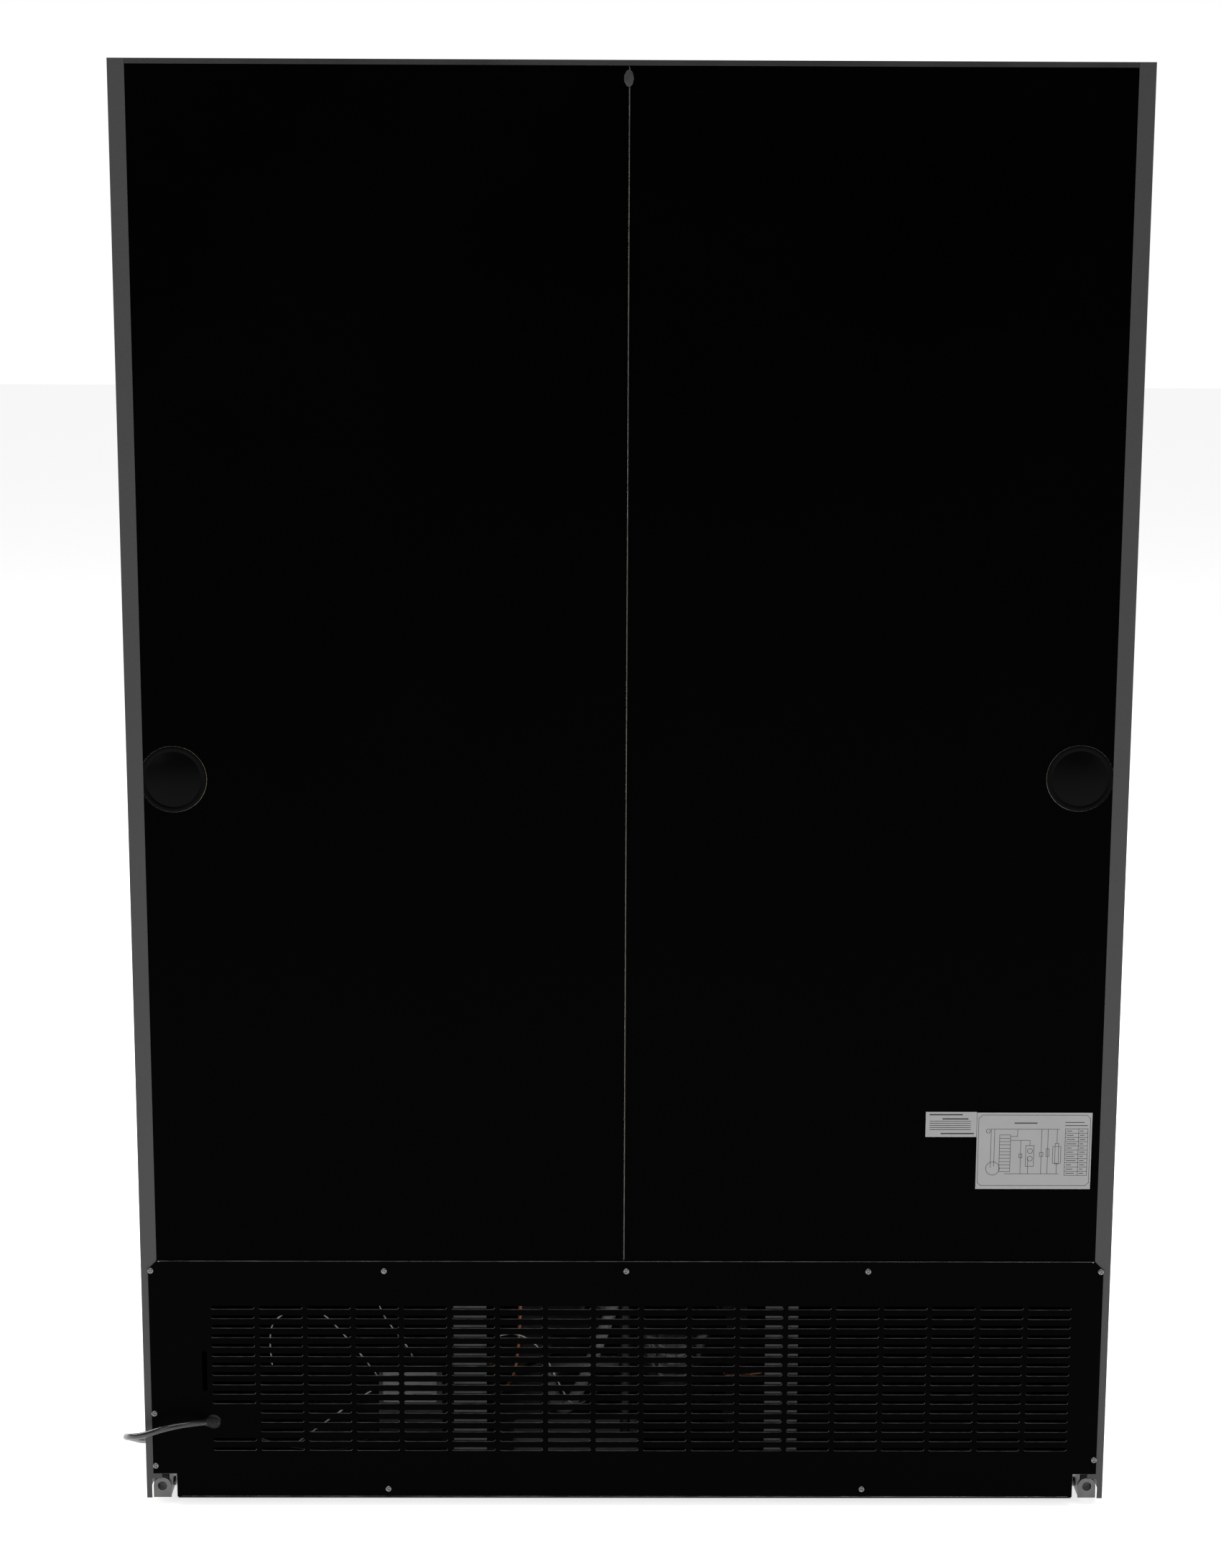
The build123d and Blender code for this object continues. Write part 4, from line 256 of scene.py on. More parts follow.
def paints():
    """Every finish on the cabinet, by name."""
    c = colours()
    return {
        "casing": finish("satin casing", c.casing, 0.42, specular=0.4, mottle=0.02, spread=0.012,
                         grain=0.25, grain_scale=900, mottle_scale=3),
        "rear": finish("black rear sheet", c.rear, 0.22, specular=0.01, mottle=0.3, grain=0.04,
                       grain_scale=60, mottle_scale=4),
        "louvre": finish("matt louvred panel", c.louvre, 0.5, specular=0.012, mottle=0.15,
                         grain=0.35, grain_scale=1200),
        # Thin metallic edge finish: a painted highlight for the bright lines along the louvre slots
        # and the rear seam
        "highlight": finish("slot edge highlight", (0.07, 0.07, 0.07), 0.3, metal=0.6, mottle=0.5,
                         mottle_scale=60),
        # Bright metallic finish for thin tubes along the louvred panel's folds: a painted highlight
        "fold_highlight": finish("folded edge highlight", (0.34, 0.34, 0.34), 0.3, metal=0.8, mottle=0.25,
                       mottle_scale=40),
        "port": finish("port cover", (0.0008, 0.0008, 0.00085), 0.3, specular=0.04, grain=0.1),
        "sealant": finish("sealant", (0.012, 0.012, 0.012), 0.5, mottle=0.4, mottle_scale=90,
                          grain=0.6, grain_scale=150),
        # Zinc and screw tones sit far below bare zinc: painted shade for the dark surroundings these
        # metals reflect
        "zinc": finish("zinc plate", (0.10, 0.10, 0.098), 0.36, metal=0.75, mottle=0.22,
                       mottle_scale=45, grain=0.1),
        "screw": finish("screw zinc", (0.17, 0.17, 0.17), 0.24, metal=0.9, mottle=0.2,
                        mottle_scale=120, grain=0.05),
        "galvanised": spangled("galvanised sheet", (0.42, 0.43, 0.43)),
        "post": spangled("galvanised post", (0.038, 0.038, 0.0386), rough=0.5),
        # The deck keeps its galvanised finish only between x 0.110 and 0.460 and is near black
        # beyond it
        "deck": darken_outside(spangled("part-darkened deck", (0.40, 0.41, 0.41)),
                         (0.004, 0.004, 0.004), "X", 0.110, 0.460),
        # The drain tube is near black below z 0.370 and white above it
        "drain": darken_outside(finish("drain tube", (0.72, 0.72, 0.70), 0.45, mottle=0.05),
                          (0.006, 0.006, 0.006), "Z", 0.370, 2.0),
        "liner": finish("liner enamel", c.liner, 0.3, mottle=0.01, spread=0.015, grain=0.1,
                        grain_scale=500),
        "foam": finish("foam", (0.72, 0.62, 0.40), 0.85, mottle=0.12, grain=0.8,
                       grain_scale=300),
        "face": finish("black face frame", (0.012, 0.012, 0.013), 0.45, mottle=0.15, grain=0.3,
                       grain_scale=700),
        "header": finish("header casing", (0.007, 0.007, 0.0075), 0.38, mottle=0.1, grain=0.25,
                         grain_scale=900),
        "sign": finish("sign acrylic", c.sign, 0.15, mottle=0.015, grain=0.0, coat=0.4,
                       lamp=0.05),
        "lamp": finish("frosted lamp", (0.86, 0.9, 0.92), 0.45, mottle=0.02, grain=0.1,
                       lamp=0.6),
        "base": finish("base frame paint", (0.016, 0.016, 0.017), 0.5, mottle=0.3, grain=0.4,
                       grain_scale=600),
        "nylon": finish("grey nylon", (0.16, 0.16, 0.165), 0.55, mottle=0.12, grain=0.2),
        "moulded": finish("grey moulding", (0.22, 0.225, 0.23), 0.6, mottle=0.08, grain=0.3,
                          grain_scale=500),
        "white plastic": finish("white plastic", (0.72, 0.72, 0.70), 0.45, mottle=0.05,
                                grain=0.1),
        "black plastic": finish("black plastic", (0.010, 0.010, 0.011), 0.4, mottle=0.2,
                                grain=0.3, grain_scale=800),
        "knob": finish("glossy knob", (0.012, 0.012, 0.012), 0.2, coat=0.5, mottle=0.1,
                       grain=0.02),
        "enamel": finish("compressor enamel", (0.006, 0.006, 0.007), 0.2, specular=0.6,
                         mottle=0.35, coat=0.5, grain=0.25, grain_scale=80),
        "motor": finish("motor enamel", (0.02, 0.02, 0.021), 0.35, mottle=0.2, grain=0.2),
        "copper": finish("copper pipe", (0.38, 0.17, 0.10), 0.3, metal=0.95, mottle=0.25,
                         mottle_scale=50, grain=0.05),
        "fins": finish("aluminium fin", (0.60, 0.61, 0.62), 0.35, metal=0.9, mottle=0.1,
                       mottle_scale=30, grain=0.0),
        "rail": finish("aluminium rail", (0.62, 0.63, 0.63), 0.36, metal=0.9, mottle=0.08,
                       grain=0.15, grain_scale=200, stretch=(1, 1, 0.05)),
        "wire": finish("coated wire", (0.78, 0.78, 0.76), 0.35, mottle=0.03, grain=0.05),
        "anodised": finish("black anodised", (0.014, 0.014, 0.015), 0.33, metal=0.35,
                           mottle=0.1, grain=0.2, grain_scale=260, stretch=(1, 1, 0.04)),
        "rubber": finish("black rubber", (0.010, 0.010, 0.010), 0.62, specular=0.3, mottle=0.2,
                         grain=0.35, grain_scale=500),
        "cord": finish("cord sheath", (0.006, 0.006, 0.0065), 0.26, specular=0.6, mottle=0.2,
                       grain=0.06, grain_scale=400),
        "blade": finish("plug blade", (0.72, 0.56, 0.30), 0.25, metal=0.95, mottle=0.12,
                        mottle_scale=80, grain=0.05),
        "stock": finish("label foil", c.label, 0.5, mottle=0.04, mottle_scale=25, grain=0.1),
        "ink": finish("label ink", (0.008, 0.008, 0.009), 0.6, mottle=0.2, grain=0.0),
        "glass": clear_glass("door glass", (0.94, 0.985, 0.97)),
        "spacer": finish("glass spacer", (0.05, 0.05, 0.052), 0.4, metal=0.5, mottle=0.1),
    }


PAINT = {}


def paint(node, name):
    """Gives a frame piece its finish."""
    for slot in NODES[node].material_slots:
        slot.material = PAINT[name]


# ---------------------------------------------------------------- mesh building
def add_box(bm, low, high, bevel=0.0, segments=2):
    """A block with softened edges."""
    low, high = Vector(low), Vector(high)
    made = bmesh.ops.create_cube(bm, size=1.0)["verts"]
    bmesh.ops.scale(bm, vec=high - low, verts=made)
    bmesh.ops.translate(bm, vec=(low + high) / 2, verts=made)
    if bevel > 0:
        edges = list({edge for vert in made for edge in vert.link_edges})
        bmesh.ops.bevel(bm, geom=edges, offset=bevel, segments=segments, affect="EDGES")


def bridge(bm, lower, upper):
    """Joins two rings of as many corners with faces."""
    faces = []
    for step in range(len(lower)):
        after = (step + 1) % len(lower)
        faces.append(bm.faces.new((lower[step], lower[after], upper[after], upper[step])))
    return faces


def turn_to(axis):
    """The turn that carries +Z onto an axis."""
    return Vector(axis).to_track_quat("Z", "Y").to_matrix().to_4x4()


def add_lathe(bm, profile, place, axis=(0, 0, 1), segments=48):
    """A turned shape: profile is (radius, height) pairs, from one pole or rim to the other."""
    turn = Matrix.Translation(place) @ turn_to(axis)
    rings = []
    for radius, height in profile:
        if radius < 1e-7:
            rings.append([bm.verts.new(turn @ Vector((0, 0, height)))])
            continue
        ring = []
        for step in range(segments):
            angle = TAU * step / segments
            point = Vector((radius * math.cos(angle), radius * math.sin(angle), height))
            ring.append(bm.verts.new(turn @ point))
        rings.append(ring)
    for lower, upper in zip(rings, rings[1:]):
        for step in range(segments):
            after = (step + 1) % segments
            if len(lower) == 1 and len(upper) > 1:
                bm.faces.new((lower[0], upper[step], upper[after]))
            elif len(upper) == 1 and len(lower) > 1:
                bm.faces.new((lower[step], lower[after], upper[0]))
            elif len(lower) > 1:
                bm.faces.new((lower[step], lower[after], upper[after], upper[step]))
    for ring, closed in ((rings[0], len(rings[0]) > 1), (rings[-1], len(rings[-1]) > 1)):
        if closed and rings[0] is not rings[-1]:
            bm.faces.new(ring)


def add_tube(bm, points, radius, segments=16):
    """A round tube along points, with a UV map of distance along and turns around."""
    points = [Vector(point) for point in points]
    layer = bm.loops.layers.uv.verify()
    heading = (points[1] - points[0]).normalized()
    side = heading.orthogonal().normalized()
    travelled = 0.0
    rings, reach = [], []
    for index, point in enumerate(points):
        if index:
            travelled += (point - points[index - 1]).length
        before = points[max(index - 1, 0)]
        after = points[min(index + 1, len(points) - 1)]
        new_heading = (after - before).normalized()
        side = (heading.rotation_difference(new_heading)) @ side
        heading = new_heading
        up = heading.cross(side)
        turns = [TAU * step / segments for step in range(segments)]
        rings.append([
            bm.verts.new(point + radius * (math.cos(turn) * side + math.sin(turn) * up))
            for turn in turns
        ])
        reach.append(travelled)
    for row, (lower, upper) in enumerate(zip(rings, rings[1:])):
        along = (reach[row], reach[row], reach[row + 1], reach[row + 1])
        for step, face in enumerate(bridge(bm, lower, upper)):
            for loop, u, v in zip(face.loops, along, (step, step + 1, step + 1, step)):
                loop[layer].uv = (u, v / segments)
    bm.faces.new(rings[0])
    bm.faces.new(rings[-1])


def smooth_path(points, resolution=12):
    """Points along the smooth spline whose control points are given."""
    curve = bpy.data.curves.new("path", "CURVE")
    curve.dimensions = "3D"
    add_spline(curve, points, resolution)
    holder = bpy.data.objects.new("path", curve)
    mesh = bpy.data.meshes.new_from_object(holder)
    path = [vert.co.copy() for vert in mesh.vertices]
    bpy.data.objects.remove(holder)
    bpy.data.curves.remove(curve)
    bpy.data.meshes.remove(mesh)
    return path


def add_spline(curve, points, resolution=12):
    """An open, smooth NURBS spline through its control points' hull."""
    spline = curve.splines.new("NURBS")
    spline.points.add(len(points) - 1)
    for slot, point in zip(spline.points, points):
        slot.co = (*point, 1)
    spline.order_u = 3
    spline.use_endpoint_u = True
    spline.resolution_u = resolution


def add_prism(bm, outline, low, high, axis="Y"):
    """A plate: outline pairs are drawn across the axis, from low to high along it."""
    place = {
        "X": lambda a, b, c: (c, a, b),
        "Y": lambda a, b, c: (a, c, b),
        "Z": lambda a, b, c: (a, b, c),
    }[axis]
    rings = [[bm.verts.new(place(a, b, level)) for a, b in outline] for level in (low, high)]
    bridge(bm, *rings)
    bm.faces.new(rings[0])
    bm.faces.new(rings[1])


def make(name, bm, material, body="cabinet", stands_for=(), smooth=True, doubles=True):
    """Turns mesh code into a finished piece that rides on a body."""
    if doubles:
        bmesh.ops.remove_doubles(bm, verts=bm.verts, dist=1e-6)
    bmesh.ops.recalc_face_normals(bm, faces=bm.faces)
    mesh = bpy.data.meshes.new(name)
    bm.to_mesh(mesh)
    bm.free()
    return dress(name, mesh, material, body, stands_for, smooth)


def dress(name, mesh, material, body="cabinet", stands_for=(), smooth=True):
    """Links a mesh as a piece, with its finish, its body and the frame pieces it stands for."""
    mesh.materials.clear()
    mesh.materials.append(PAINT[material])
    if smooth:
        mesh.shade_smooth()
        mesh.set_sharp_from_angle(angle=math.radians(35))
    piece = bpy.data.objects.new(name, mesh)
    bpy.context.scene.collection.objects.link(piece)
    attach(piece, body)
    if stands_for:
        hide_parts(*stands_for)
    return piece


# ---------------------------------------------------------------- geometry nodes
def start_tree(name, sockets):
    """A new tree with named inputs, each a kind and a first value, and those inputs' outputs."""
    tree = bpy.data.node_groups.new(name, "GeometryNodeTree")
    tree.interface.new_socket("Geometry", in_out="OUTPUT", socket_type="NodeSocketGeometry")
    for label, (kind, value) in sockets.items():
        made = tree.interface.new_socket(label, in_out="INPUT", socket_type="NodeSocket" + kind)
        if value is not None:
            made.default_value = value
    return tree, add_node(tree, "NodeGroupInput").outputs


def end_tree(tree, copies, coat):
    """Makes the copies real, gives them their material, and ends the tree."""
    real = add_node(tree, "GeometryNodeRealizeInstances", {"Geometry": copies.outputs["Instances"]})
    coated = add_node(tree, "GeometryNodeSetMaterial",
                      {"Geometry": real.outputs["Geometry"], "Material": coat})
    add_node(tree, "NodeGroupOutput", {"Geometry": coated.outputs["Geometry"]})
    return tree


def grid_tree():
    """Sets copies of a unit in columns and rows."""
    name = "Rows of a unit"
    if name in bpy.data.node_groups:
        return bpy.data.node_groups[name]
    tree, entry = start_tree(name, {
        "Unit": ("Object", None), "Columns": ("Int", 2), "Rows": ("Int", 1),
        "Start": ("Vector", None), "Column Step": ("Vector", None),
        "Row Step": ("Vector", None), "Finish": ("Material", None),
    })
    columns = add_node(tree, "GeometryNodeMeshLine", {
        "Count": entry["Columns"], "Start Location": entry["Start"],
        "Offset": entry["Column Step"],
    })
    rows = add_node(tree, "GeometryNodeMeshLine",
                    {"Count": entry["Rows"], "Offset": entry["Row Step"]})
    spread = add_node(tree, "GeometryNodeInstanceOnPoints",
                      {"Points": columns.outputs["Mesh"], "Instance": rows.outputs["Mesh"]})
    field = add_node(tree, "GeometryNodeRealizeInstances",
                     {"Geometry": spread.outputs["Instances"]})
    unit = add_node(tree, "GeometryNodeObjectInfo", {"Object": entry["Unit"]})
    copies = add_node(tree, "GeometryNodeInstanceOnPoints",
                      {"Points": field.outputs["Geometry"], "Instance": unit.outputs["Geometry"]})
    return end_tree(tree, copies, entry["Finish"])


def scatter_tree():
    """Sets a unit on each point of the carrying mesh, each turned a little about the Y axis."""
    name = "Unit on points"
    if name in bpy.data.node_groups:
        return bpy.data.node_groups[name]
    tree, entry = start_tree(name, {
        "Geometry": ("Geometry", None), "Unit": ("Object", None), "Turn": ("Float", 0.0),
        "Seed": ("Int", 3), "Finish": ("Material", None),
    })
    unit = add_node(tree, "GeometryNodeObjectInfo", {"Object": entry["Unit"]})
    chance = add_node(tree, "FunctionNodeRandomValue",
                      {"Max": entry["Turn"], "Seed": entry["Seed"]}, data_type="FLOAT")
    angle = add_node(tree, "ShaderNodeCombineXYZ", {"Y": chance.outputs[1]})
    copies = add_node(tree, "GeometryNodeInstanceOnPoints", {
        "Points": entry["Geometry"], "Instance": unit.outputs["Geometry"],
        "Rotation": angle.outputs["Vector"],
    })
    return end_tree(tree, copies, entry["Finish"])


def grow(name, tree, values, material, body="cabinet", stands_for=(), slot=None, points=(),
         smooth=True):
    """Runs a tree with its named inputs, and keeps the result as a plain mesh."""
    carrier_mesh = bpy.data.meshes.new(name + " carrier")
    carrier_mesh.from_pydata([tuple(point) for point in points], [], [])
    carrier = bpy.data.objects.new(name + " carrier", carrier_mesh)
    bpy.context.scene.collection.objects.link(carrier)
    modifier = carrier.modifiers.new("Grow", "NODES")
    modifier.node_group = tree
    keys = {
        item.name: item.identifier
        for item in tree.interface.items_tree
        if item.item_type == "SOCKET" and item.in_out == "INPUT"
    }
    for label, value in {**values, "Finish": PAINT[material]}.items():
        modifier[keys[label]] = value
    bpy.context.view_layer.update()
    depsgraph = bpy.context.evaluated_depsgraph_get()
    mesh = bpy.data.meshes.new_from_object(carrier.evaluated_get(depsgraph))
    if not mesh.polygons:
        raise RuntimeError(f"{name} came out empty")
    mesh.name = name
    carrier.modifiers.remove(modifier)
    bpy.data.objects.remove(carrier)
    return dress(name, mesh, material, body, stands_for, smooth)


def unit_object(name, bm):
    """A unit for a tree to copy: it is removed once the tree has run."""
    bmesh.ops.recalc_face_normals(bm, faces=bm.faces)
    mesh = bpy.data.meshes.new(name)
    bm.to_mesh(mesh)
    bm.free()
    holder = bpy.data.objects.new(name, mesh)
    bpy.context.scene.collection.objects.link(holder)
    return holder


def rows_of(name, bm, columns, rows, start, column_step, row_step, material, **more):
    """Copies of a small mesh in columns and rows."""
    unit = unit_object(name + " unit", bm)
    values = {
        "Unit": unit,
        "Columns": columns,
        "Rows": rows,
        "Start": start,
        "Column Step": column_step,
        "Row Step": row_step,
    }
    piece = grow(name, grid_tree(), values, material, **more)
    bpy.data.objects.remove(unit)
    return piece


def scattered(name, bm, points, material, turn=0.0, seed=3, **more):
    """Copies of a small mesh on given points."""
    unit = unit_object(name + " unit", bm)
    values = {"Unit": unit, "Turn": turn, "Seed": seed}
    piece = grow(name, scatter_tree(), values, material, points=points, **more)
    bpy.data.objects.remove(unit)
    return piece


# ---------------------------------------------------------------- stage
LAMPS = (  # name, place, width and power in watts
    ("overhead", (0.0, 0.0, 6.5), 6.0, 420.0),
    ("key", (2.8, 3.8, 2.6), 2.4, 34.0),
    ("fill", (-3.2, 3.2, 2.2), 2.4, 24.0),
    ("front", (-2.0, -4.2, 2.8), 2.6, 80.0),
    ("rim", (3.6, -2.6, 2.4), 2.2, 80.0),
)
LAMP_AIM = Vector((0, 0, 0.9))
CAMERA_PLACE = (0.0524, 4.196, 1.7681)
CAMERA_TURN = (0.18924, 0.00733, 0.003897)  # pitch, yaw and roll in radians


class MERCH_OT_stage(bpy.types.Operator):
    """Lays the floor, hangs the lights and sets the camera"""

    bl_idname = "merch.stage"
    bl_label = "Stage"

    def execute(self, context):
        scene = context.scene
        stage = scene.stage_settings
        floor_mesh = bpy.data.meshes.new("floor")
        reach = 30.0
        corners = [(x * reach, y * reach, 0) for x, y in ((-1, -1), (1, -1), (1, 1), (-1, 1))]
        floor_mesh.from_pydata(corners, [], [(0, 1, 2, 3)])
        pale = finish("pale floor", stage.floor, 0.85, specular=0.1, mottle=0.004, grain=0.0)
        glow = pale.node_tree.nodes["Principled BSDF"].inputs
        glow["Emission Color"].default_value = (1, 1, 1, 1)
        glow["Emission Strength"].default_value = 0.72
        floor_mesh.materials.append(pale)
        floor = bpy.data.objects.new("floor", floor_mesh)
        scene.collection.objects.link(floor)

        world = bpy.data.worlds.new("Studio")
        world.use_nodes = True
        tree = world.node_tree
        sky = tree.nodes["Background"].inputs
        sky["Color"].default_value = (1, 1, 1, 1)
        seen = add_node(tree, "ShaderNodeLightPath").outputs["Is Camera Ray"]
        shine = add_node(tree, "ShaderNodeMapRange",
                         {"Value": seen, "To Min": stage.strength, "To Max": 1.0})
        tree.links.new(shine.outputs["Result"], sky["Strength"])
        scene.world = world
        scene.view_settings.view_transform = "Standard"

        for name, place, size, power in LAMPS:
            lamp = bpy.data.lights.new(name, "AREA")
            lamp.size = size
            lamp.energy = power
            holder = bpy.data.objects.new(name, lamp)
            holder.location = place
            aim = LAMP_AIM - Vector(place)
            holder.rotation_euler = aim.to_track_quat("-Z", "Y").to_euler()
            scene.collection.objects.link(holder)

        camera = bpy.data.cameras.new("camera")
        camera.sensor_fit = "VERTICAL"
        camera.sensor_height = 36.0
        camera.lens = stage.lens
        camera.clip_end = 200.0
        eye = bpy.data.objects.new("camera", camera)
        pitch, yaw, roll = CAMERA_TURN
        forward = Vector((
            -math.sin(yaw) * math.cos(pitch), -math.cos(yaw) * math.cos(pitch), -math.sin(pitch)
        ))
        level = Vector((-math.cos(yaw), math.sin(yaw), 0))
        above = level.cross(forward)
        right = math.cos(roll) * level + math.sin(roll) * above
        up = -math.sin(roll) * level + math.cos(roll) * above
        turn = Matrix((right, up, -forward)).transposed().to_4x4()
        eye.matrix_world = Matrix.Translation(CAMERA_PLACE) @ turn
        scene.collection.objects.link(eye)
        scene.camera = eye
        return {"FINISHED"}


# ---------------------------------------------------------------- power cord
CORD_ROUTE = [
    (0.5891, 0.4044, 0.1285),
    (0.6139, 0.4237, 0.1343),
    (0.6455, 0.4290, 0.1292),
    (0.6720, 0.4210, 0.1165),
    (0.6970, 0.4020, 0.1055),
    (0.7090, 0.3650, 0.0900),
    (0.7070, 0.3170, 0.0670),
    (0.7020, 0.2610, 0.0380),
    (0.6970, 0.2000, 0.0130),
    (0.6930, 0.1390, 0.0050),
    (0.6970, 0.0620, 0.0050),
    (0.6920, -0.0220, 0.0050),
    (0.6960, -0.1040, 0.0050),
    (0.6910, -0.1840, 0.0050),
    (0.6940, -0.2620, 0.0050),
    (0.6895, -0.3380, 0.0050),
    (0.6970, -0.4100, 0.0050),
]
COIL_MIDDLE = Vector((0.638, -0.425, 0.0))
COIL_RADII = (0.059, 0.050, 0.041)
COIL_LEVELS = (0.0050, 0.0142)
COIL_TURNS = 5.44
POINTS_PER_TURN = 16
PLUG_TAIL = Vector((0.558, -0.405, 0.012))
PLUG_SEGMENTS = 40


def ease(value):
    """A smooth step from 0 to 1."""
    value = min(1.0, max(0.0, value))
    return value * value * (3 - 2 * value)


def coil_point(turn):
    """A point on the coil, so many turns in: three turns inwards, then outwards on top."""
    outer, middle, inner = COIL_RADII
    radius = outer
    for start, end, low, high in (
        (0.8, 1.0, outer, middle),
        (1.8, 2.0, middle, inner),
        (3.6, 3.8, inner, middle),
        (4.6, 4.8, middle, outer),
    ):
        radius += (high - low) * ease((turn - start) / (end - start))
    height = COIL_LEVELS[0] + (COIL_LEVELS[1] - COIL_LEVELS[0]) * ease((turn - 2.45) / 0.3)
    angle = -TAU * turn
    flat = Vector((radius * math.cos(angle), radius * math.sin(angle), height))
    return COIL_MIDDLE + flat


class MERCH_OT_cord(bpy.types.Operator):
    """Makes the power cord, its strain relief and its plug"""

    bl_idname = "merch.cord"
    bl_label = "Power cord"

    def execute(self, context):
        steps = int(COIL_TURNS * POINTS_PER_TURN)
        route = [Vector(point) for point in CORD_ROUTE]
        route += [coil_point(step / POINTS_PER_TURN) for step in range(steps + 1)]
        route += [
            Vector((0.5690, -0.4190, 0.0135)),
            Vector((0.5600, -0.4110, 0.0122)),
            PLUG_TAIL,
        ]
        curve = bpy.data.curves.new("power_cord", "CURVE")
        curve.dimensions = "3D"
        curve.bevel_depth = 0.0045
        curve.bevel_resolution = 5
        curve.use_fill_caps = True
        add_spline(curve, route, 8)
        curve.materials.append(PAINT["cord"])
        cord = bpy.data.objects.new("power_cord", curve)
        context.scene.collection.objects.link(cord)
        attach(cord, "cabinet")
        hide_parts("cord_tube", "cord_coil")

        tip = route[0]
        axis = (route[1] - route[0]).normalized()
        bm = bmesh.new()
        profile = [(0.0, -0.024), (0.0060, -0.024)]
        ribs = 6
        for rib in range(ribs):
            start = -0.017 + rib * 0.0026
            radius = 0.0060 - 0.00012 * rib
            profile += [
                (radius, start), (radius, start + 0.0012),
                (radius - 0.0009, start + 0.0015), (radius - 0.0009, start + 0.0023),
            ]
        profile += [(0.0052, -0.0008), (0.0049, 0.0), (0.0, 0.0)]
        add_lathe(bm, profile, tip, axis, 36)
        add_lathe(
            bm,
            [(0.0, 0.0), (0.0150, 0.0), (0.0150, 0.0035), (0.0140, 0.0045), (0.0, 0.0045)],
            Vector((0.579, 0.3909, 0.1262)), (0, 1, 0), 40,
        )
        gland = make("strain_relief", bm, "rubber", stands_for=["cord_gland"])

        bm = bmesh.new()
        add_plug_body(bm, PLUG_TAIL)
        plug = make("plug_body", bm, "rubber", stands_for=["cord_plug"])
        bm = bmesh.new()
        front = PLUG_TAIL + Vector((0, 0.0595, 0))
        for side in (-1, 1):
            x = front.x + side * 0.00635
            add_box(bm, (x - 0.00075, front.y, front.z + 0.00085),
                    (x + 0.00075, front.y + 0.0170, front.z + 0.00715), 0.0005, 1)
        add_lathe(
            bm,
            [(0.0, 0.0), (0.0024, 0.0), (0.0024, 0.0165), (0.0016, 0.0188), (0.0, 0.0192)],
            front + Vector((0, 0, -0.006)), (0, 1, 0), 20,
        )
        blades = make("plug_blades", bm, "blade")
        return {"FINISHED"}


def add_plug_body(bm, tail):
    """A moulded plug along +Y from its cord: ribbed neck, rounded body and finger grooves."""
    rings = []
    for along, wide, tall in (
        (0.0, 0.0052, 0.0052), (0.003, 0.0060, 0.0060), (0.004, 0.0052, 0.0052),
        (0.007, 0.0066, 0.0064), (0.008, 0.0058, 0.0056), (0.011, 0.0074, 0.0070),
        (0.012, 0.0066, 0.0062), (0.018, 0.0092, 0.0086), (0.026, 0.0118, 0.0104),
        (0.031, 0.0138, 0.0119), (0.034, 0.0128, 0.0112), (0.037, 0.0138, 0.0119),
        (0.040, 0.0128, 0.0112), (0.043, 0.0138, 0.0119), (0.058, 0.0139, 0.0119),
        (0.060, 0.0128, 0.0108),
    ):
        power = 2.0 if along < 0.015 else 3.6
        ring = []
        for step in range(PLUG_SEGMENTS):
            angle = TAU * step / PLUG_SEGMENTS
            c, s = math.cos(angle), math.sin(angle)
            x = wide * math.copysign(abs(c) ** (2 / power), c)
            z = tall * math.copysign(abs(s) ** (2 / power), s)
            ring.append(bm.verts.new(tail + Vector((x, along, z))))
        rings.append(ring)
    for lower, upper in zip(rings, rings[1:]):
        bridge(bm, lower, upper)
    bm.faces.new(rings[0])
    bm.faces.new(rings[-1])


